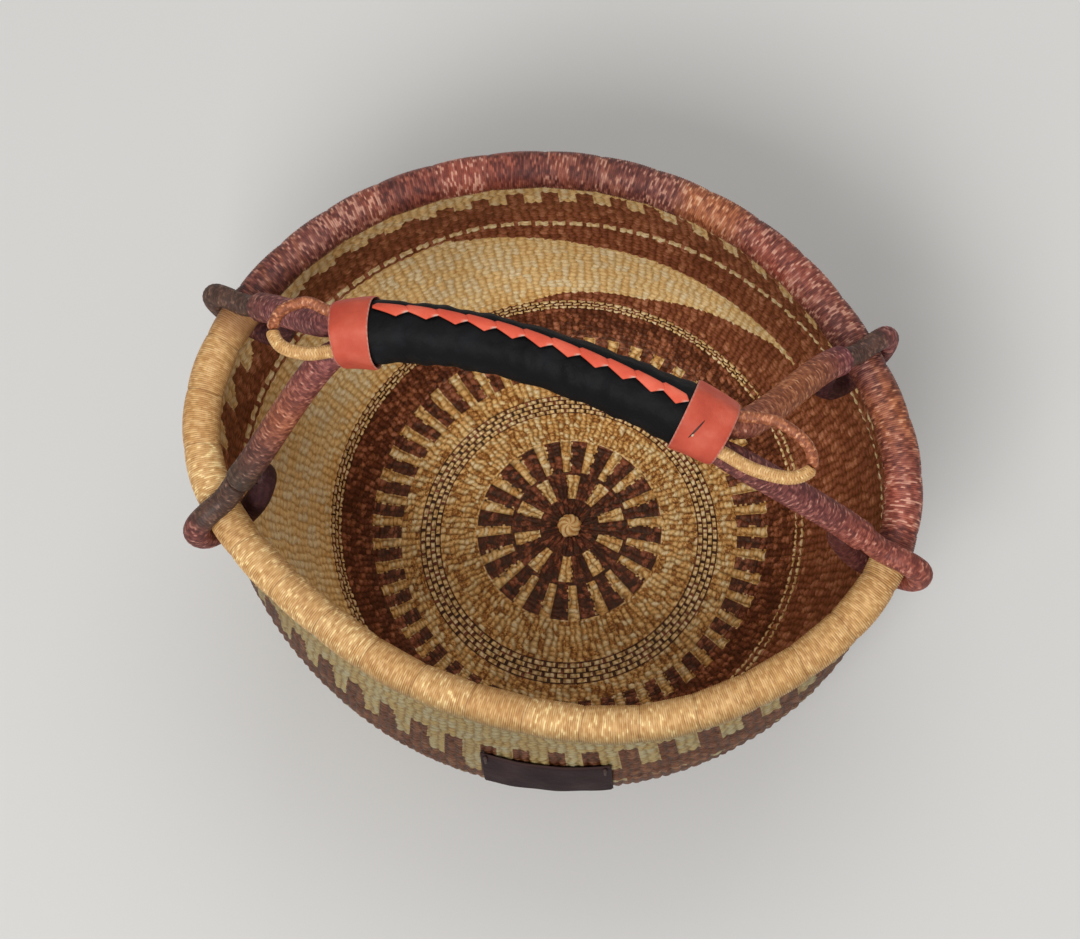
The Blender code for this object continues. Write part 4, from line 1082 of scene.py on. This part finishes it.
def cuff_exit(end, across, up, out):
    """A point near a cuff's mouth and the way out there: across and up in its section, out along the
    grip."""
    side = 1 if end else -1
    mouth = GRIP_ENDS[end] + side * min(out, 0.0)
    path = grip_point((mouth - side * 0.001, mouth))
    forward = unit(path[1] - path[0])
    back = unit(np.cross(UP, forward) * side)
    lift = np.cross(forward, back) * side
    return path[1] + forward * max(out, 0.0) + back * across + lift * up, forward


def attachment(name):
    """Where a leg meets the rim, its level direction there, and half the rim's width along it."""
    place, heading, _ = ATTACHMENTS[name]
    direction = np.array((math.cos(heading), math.sin(heading), 0.0))
    slant = float(direction @ rim_outward(np.array(place)))
    return rim_point(np.array(place)), direction, RIM_WRAP_RADIUS / slant


def leg_end(name):
    """The point just inside the rim where the thick part of a leg starts to round off, and its way there."""
    middle, direction, half = attachment(name)
    arrive = direction * math.cos(LEG_ARRIVAL_SLOPE) - UP * math.sin(LEG_ARRIVAL_SLOPE)
    return middle - direction * (half + LEG_END_SETBACK) + UP * LEG_END_HEIGHT, arrive


def leg_path(name):
    """A leg's line: out of the cuff along the grip, then over and down to the rim."""
    grip_end = 0 if name.startswith("left") else 1
    across = LEG_SPREAD if name.endswith("back") else -LEG_SPREAD
    root = [cuff_exit(grip_end, across, -LEG_DROP, -LEG_ROOT * share)[0] for share in (1.0, 0.5, 0.0)]
    start, forward = cuff_exit(grip_end, across, -LEG_DROP, LEG_LEAD)
    end, arrive = leg_end(name)
    turn_in = end - arrive * LEG_STRAIGHT
    span = np.linalg.norm(turn_in - start)
    line = bezier((start, start + forward * span * LEG_START_REACH,
                   turn_in - arrive * span * LEG_END_REACH, turn_in), LEG_STATIONS)
    return np.vstack([root, line, end])


BRAID_PITCH = 0.0013
BRAID_LEAN = 0.55
BRAID_STEP = 0.37
BRAID_TUCK = 0.28
CORD_END_ROUNDING = 0.0016
CORD_PROUD = 0.0002
LEG_PANELS, LEG_RELIEF = 24, 0.0006


def braid(along, turn, panels):
    """The relief and the tone of a braided binding, both from 0 to 1. The way round is cut in panels.
    Strands cross each panel side by side, leaning one way in one panel and the other way in the next,
    and tuck in at the panel's borders. Each strand has one tone, from an even spread."""
    panel = turn * panels / FULL_TURN + 1e-6
    lean = 1 - 2 * (np.floor(panel) % 2)
    strand = along / BRAID_PITCH + BRAID_LEAN * lean * (panel % 1.0 - 0.5) + BRAID_STEP * np.floor(panel)
    tuck = 1 - BRAID_TUCK + BRAID_TUCK * np.sin(math.pi * (panel % 1.0))**0.5
    return np.abs(np.sin(math.pi * strand))**0.8 * tuck, 0.05 + 0.90 * chance(strand, panel)**1.4


def bound_cord(name, path, radii, panels, relief, up=UP):
    """A cord in a braided binding: circles carried along the path, pressed in between the strands, with
    its two ends rounded off. Also gives each point's share of the way along."""
    fine = smooth_line(np.column_stack([path, radii]), 12)
    length = length_along(fine[:, :3])
    count = max(24, int(length[-1] / BRAID_PITCH * 4))
    along_lines = np.linspace(0, length[-1], count)
    line = np.stack([np.interp(along_lines, length, fine[:, i]) for i in range(4)], -1)
    side, lift = path_frames(line[:, :3], up)
    along, around = np.meshgrid(along_lines, turns(2 * panels), indexing="ij")
    bump, tone = braid(along, around, panels)
    from_end = np.clip(np.minimum(along, length[-1] - along) / CORD_END_ROUNDING, 0, 1)
    rounding = np.sqrt(np.clip(1 - (1 - from_end)**2, 0.16, 1))
    radius = (line[:, 3:] + CORD_PROUD - relief * (1 - bump)) * rounding
    piece = ring_surface(name, rings_round(line[:, :3], side, lift, around, radius), along_lines,
                         np.linspace(0, 0.05, 2 * panels + 1), "poles")
    mark(piece, "tone", tone)
    mark(piece, "relief", bump)
    return piece, along / length[-1]


# How much of each dye a leg has at five places on its way down.
LEG_DYE_PLACES = (0.15, 0.35, 0.55, 0.75, 0.95)
LEG_DYES = {
    "left_back": {"pink": (0.5, 0.6, 0.7, 0.6, 0.3), "warm": (0.0, 0.0, 0.1, 0.0, 0.0),
                  "coral": (0.5, 0.5, 0.5, 0.5, 0.5), "olive": (0.0, 0.0, 0.0, 0.0, 0.3)},
    "left_front": {"pink": (0.8, 0.7, 0.3, 0.1, 0.0), "warm": (0.1, 0.3, 0.7, 0.1, 0.0),
                   "coral": (0.2, 0.2, 0.2, 0.2, 0.2), "olive": (0.0, 0.0, 0.0, 0.35, 0.95)},
    "right_back": {"pink": (0.2, 0.2, 0.0, 0.2, 1.0), "warm": (0.5, 0.85, 0.95, 0.7, 0.0),
                   "coral": (0.3, 0.1, 0.0, 0.1, 0.3), "olive": (0.0, 0.0, 0.0, 0.0, 0.0)},
    "right_front": {"pink": (0.2, 0.3, 0.4, 0.3, 0.2), "warm": (0.0, 0.0, 0.05, 0.15, 0.7),
                    "coral": (1.0, 1.0, 1.0, 1.0, 1.0), "olive": (0.0, 0.0, 0.0, 0.0, 0.0)},
}

for leg_name, dyes in LEG_DYES.items():
    path = leg_path(leg_name)
    spread = np.linspace(0, 1, len(path))
    radii = np.interp(spread, (LEG_SWELL_START, LEG_SWELL_END), (LEG_ROOT_RADIUS, LEG_RADIUS))
    end, arrive = leg_end(leg_name)
    path = np.vstack([path] + [end + arrive * step for step in LEG_ROUNDING])
    radii = np.append(radii, (LEG_RADIUS * 0.87, LEG_RADIUS * 0.66))
    leg, share = bound_cord("leg_binding_" + leg_name, path, radii, LEG_PANELS, LEG_RELIEF)
    for dye_name, amounts in dyes.items():
        mark(leg, dye_name, np.interp(share, LEG_DYE_PLACES, amounts))
    settle(leg, bound_dyed, "dyed_grass", "handle_leg_" + leg_name)


# Rim loops: the thinner end of each leg goes over the rim, down outside it, back in through the wall and
# up to the underside of the leg, so the handle can't pull off. It is bound in the same braid.

LOOP_NUB_GROWTH = 0.0006
LOOP_CLEARANCE = 0.0006
LOOP_PANELS, LOOP_RELIEF = 20, 0.0005


def rim_loop_path(name):
    """A loop's line in an upright plane, through knots that each give a distance outward from the middle
    of the rim and a height above it."""
    middle, direction, half = attachment(name)
    radius = ATTACHMENTS[name][2]
    reach = half + radius + LOOP_CLEARANCE
    above = RIM_WRAP_RADIUS + radius + LOOP_CLEARANCE
    nub = reach + LOOP_NUB_GROWTH
    slope = np.array((math.cos(LEG_ARRIVAL_SLOPE), -math.sin(LEG_ARRIVAL_SLOPE)))
    square = np.array((-slope[1], slope[0]))
    leg = np.array((-half - LEG_END_SETBACK, LEG_END_HEIGHT))
    start = leg + slope * (LEG_ROUNDING[-1] + GAP)
    finish = leg - slope * 0.0010 - square * (LEG_RADIUS + 5 * GAP)
    knots = [start + slope * 0.0025, (-0.0045, above + 0.0027), (reach * 0.35, above * 0.98),
             (reach * 0.80, above * 0.70), (nub, 0.0015), (nub * 0.80, -0.0165), (0.0030, -0.0245),
             (-reach * 0.62, -0.0235), (-half - 0.0095, -0.0150), (-half - 0.0155, -0.0010),
             (-half - 0.0190, 0.0130), finish - square * 0.0030]
    line = np.vstack([start, smooth_line(knots, 2), finish])
    return middle + line[:, :1] * direction + line[:, 1:] * UP


for loop_name, olive_to, warm_amount, pink_amount, return_shade_amount in (
        ("left_back", 0.50, 0.0, 0.1, 0.7), ("left_front", 0.24, 0.0, 0.1, 0.85),
        ("right_back", 0.24, 0.1, 0.6, 0.75), ("right_front", 0.0, 0.6, 0.3, 0.6)):
    path = rim_loop_path(loop_name)
    spread = np.linspace(0, 1, len(path))
    radii = ATTACHMENTS[loop_name][2] + LOOP_NUB_GROWTH * np.exp(-((spread - 0.38) / 0.09)**2)
    sideways = np.cross(UP, attachment(loop_name)[1])
    loop, share = bound_cord("loop_binding_" + loop_name, path, radii, LOOP_PANELS, LOOP_RELIEF, sideways)
    mark(loop, "warm", warm_amount)
    mark(loop, "coral", 0.9)
    mark(loop, "pink", pink_amount)
    mark(loop, "olive", np.clip((olive_to - share) / 0.05, 0, 0.8))
    # Painted shade on the loop's way back in, under the rim and the leg.
    mark(loop, "return_shade", np.clip((share - 0.55) / 0.12, 0, return_shade_amount))
    settle(loop, bound_dyed, "dyed_grass", "rim_loop_" + loop_name)


# Eye loops: a thinner bound cord bent into a small eye at each end of the grip, to hang the basket or
# tie its two halves together. The half at the back is dyed orange and the near half is natural.

EYE_CORD_DYED_RADIUS = 0.0029
EYE_CORD_NATURAL_RADIUS = 0.0034
EYE_EXIT_SIDE = 0.0104
EYE_EXIT_UP = 0.0066
EYE_SHIFT = 0.0020
EYE_RISE = 0.0085
EYE_PANELS, EYE_RELIEF = 12, 0.0002


def eye_path(grip_end, length):
    """An eye loop's whole line: out of the cuff, round its tip and back in."""
    w, u, s, r = EYE_EXIT_SIDE, EYE_EXIT_UP, EYE_SHIFT, EYE_RISE
    shape = ((-0.010, w, u), (0.001, w, u + 0.0004), (length * 0.42, w * 1.30 + s, u + r * 0.65),
             (length * 0.83, w * 0.94 + s, u + r), (length, s, u + r),
             (length * 0.83, s - w * 0.94, u + r), (length * 0.42, s - w * 1.35, u + r * 0.65),
             (0.001, -w, u + 0.0004), (-0.010, -w, u))
    return smooth_line([cuff_exit(grip_end, across, up, out)[0] for out, across, up in shape], 3)


for eye_name, grip_end, length in (("left", 0, 0.031), ("right", 1, 0.045)):
    path = eye_path(grip_end, length)
    middle = len(path) // 2
    step = unit(path[middle + 1] - path[middle - 1]) * GAP
    halves = (("dyed", np.vstack([path[:middle], path[middle] - step * 4, path[middle] - step]),
               EYE_CORD_DYED_RADIUS, bound_dyed),
              ("natural", np.vstack([path[middle] + step, path[middle] + step * 4, path[middle + 1:]]),
               EYE_CORD_NATURAL_RADIUS, bound_natural))
    for half_name, line, radius, finish in halves:
        cord, _ = bound_cord("eye_binding_%s_%s" % (eye_name, half_name), line,
                             np.full(len(line), radius), EYE_PANELS, EYE_RELIEF)
        mark(cord, "warm", 0.9 if half_name == "dyed" else 0.0)
        mark(cord, "coral", 0.1)
        slot_name = "orange_grass" if half_name == "dyed" else "natural_grass"
        settle(cord, finish, slot_name, "eye_loop_%s_%s" % (eye_name, half_name))


# Patch: a bare piece of dark brown leather, bent round the near side below the rim, with its top edge a
# little hollow. It is sewn on with one short stitch of brown thread near each end.

LABEL_DIRECTION = math.radians(273)
LABEL_WIDTH = 0.072
LABEL_LOW = 0.121
LABEL_HIGH = 0.160
LABEL_THICKNESS = 0.0016
LABEL_TOP_DIP = 0.0022
LABEL_ROWS, LABEL_COLUMNS = 29, 61
LABEL_EDGE_ROUNDING = 0.0012
LABEL_WORN_EDGE = 0.0010
STITCH_RADIUS = 0.0009
STITCH_LENGTH = 0.0080
STITCH_FROM_END = 0.0035
STITCH_FROM_TOP = 0.0030
STITCH_RINGS, STITCH_SIDES = 60, 16
STITCH_KNOT_RING, STITCH_KNOT_REACH, STITCH_KNOT_SWELL = 44, 6.0, 0.45
STITCH_TWIST = 0.42


def label_point(across, height, out):
    """A point on the patch: across along the wall's curve, at a height, out from the wall's skin."""
    base = WALL_THICKNESS / 2
    share = (height - base) / (RIM_HEIGHT - base)
    angle = LABEL_DIRECTION + across / wall_radius(LABEL_DIRECTION, share)
    lift = WALL_THICKNESS / 2 + 2 * GAP + out
    return wall_point(angle, share) + wall_normal(angle, share) * np.asarray(lift)[..., None]


brown_leather = leather("brown_leather", (48, 33, 35), (38, 26, 28), (62, 45, 45), 1300.0, 0.70,
                        (72, 52, 48), 0.12)
# A grid bent to the wall, its front rounded off towards the edges and faintly wavy, with a plain back and
# a border of faces between the two.
rise, side = np.meshgrid(np.linspace(0, 1, LABEL_ROWS), np.linspace(-1, 1, LABEL_COLUMNS), indexing="ij")
dip = LABEL_TOP_DIP * (1 - side**2)
height = LABEL_LOW + (LABEL_HIGH - dip - LABEL_LOW) * rise
from_end = (1 - np.abs(side)) * LABEL_WIDTH / 2
from_edge = np.minimum(from_end, np.minimum(rise, 1 - rise) * (LABEL_HIGH - LABEL_LOW))
edge_round = np.sqrt(1 - (1 - np.clip(from_edge / LABEL_EDGE_ROUNDING, 0, 1))**2)
front = LABEL_THICKNESS * (0.45 + 0.55 * edge_round) + 0.0002 * np.sin(9 * side + 5 * rise)
face = label_point(side * LABEL_WIDTH / 2, height, front)
back = label_point(side * LABEL_WIDTH / 2, height, 0 * front)
tiles = rise.size
grid = np.arange(tiles).reshape(rise.shape)
quads = np.stack([grid[:-1, :-1], grid[:-1, 1:], grid[1:, 1:], grid[1:, :-1]], -1).reshape(-1, 4)
border = np.concatenate([grid[0, :-1], grid[:-1, -1], grid[-1, :0:-1], grid[:0:-1, 0]])
following = np.roll(border, -1)
skirt = np.stack([following, border, border + tiles, following + tiles], -1)
patch_mesh = bpy.data.meshes.new("patch_leather")
patch_mesh.from_pydata(np.vstack([face.reshape(-1, 3), back.reshape(-1, 3)]).tolist(), [],
                       np.vstack([quads, quads[:, ::-1] + tiles, skirt]).tolist())
patch_mesh.shade_smooth()
patch = bpy.data.objects.new("patch_leather", patch_mesh)
bpy.context.scene.collection.objects.link(patch)
mark(patch, "edge", np.append(np.clip(1 - from_edge / LABEL_WORN_EDGE, 0, 1) * 0.6, np.full(tiles, 0.3)))
settle(patch, brown_leather, "brown_leather", "label_patch")

thread, tree, shader = new_finish("stitch_thread", 0.66)
thread_colour = colour_steps(tree, streaks(tree, (400.0, 2500.0)),
                             ((0.3, (44, 28, 26)), (0.7, (82, 56, 48))))
tree.links.new(thread_colour, shader.inputs["Base Color"])
for stitch_name, end in (("left", -1), ("right", 1)):
    # Circles carried up the patch, with the waist of two plies turning round them, a swell at the knot and
    # rounded ends.
    across = np.full(STITCH_RINGS, end * (LABEL_WIDTH / 2 - STITCH_FROM_END))
    heights = LABEL_HIGH - STITCH_FROM_TOP + STITCH_LENGTH * np.linspace(-0.5, 0.5, STITCH_RINGS)
    path = label_point(across, heights, 0 * across + LABEL_THICKNESS + STITCH_RADIUS + GAP)
    side, lift = path_frames(path, np.array((1.0, 0.0, 0.0)))
    along, turn = np.meshgrid(np.arange(STITCH_RINGS), turns(STITCH_SIDES), indexing="ij")
    middle = (STITCH_RINGS - 1) / 2
    taper = np.sqrt(np.clip(1 - (np.abs(along - middle) / (middle + 1.5))**6, 0, 1))
    knot_swell = 1 + STITCH_KNOT_SWELL * np.exp(-((along - STITCH_KNOT_RING) / STITCH_KNOT_REACH)**2)
    ply = STITCH_RADIUS * taper * knot_swell * (0.86 + 0.14 * np.abs(np.cos(turn + along * STITCH_TWIST)))
    stitch = ring_surface("patch_stitch_" + stitch_name, rings_round(path, side, lift, turn, ply),
                          np.linspace(0, STITCH_LENGTH, STITCH_RINGS),
                          np.linspace(0, 0.006, STITCH_SIDES + 1), "poles")
    settle(stitch, thread, "stitch_thread", "label_stitch_" + stitch_name)
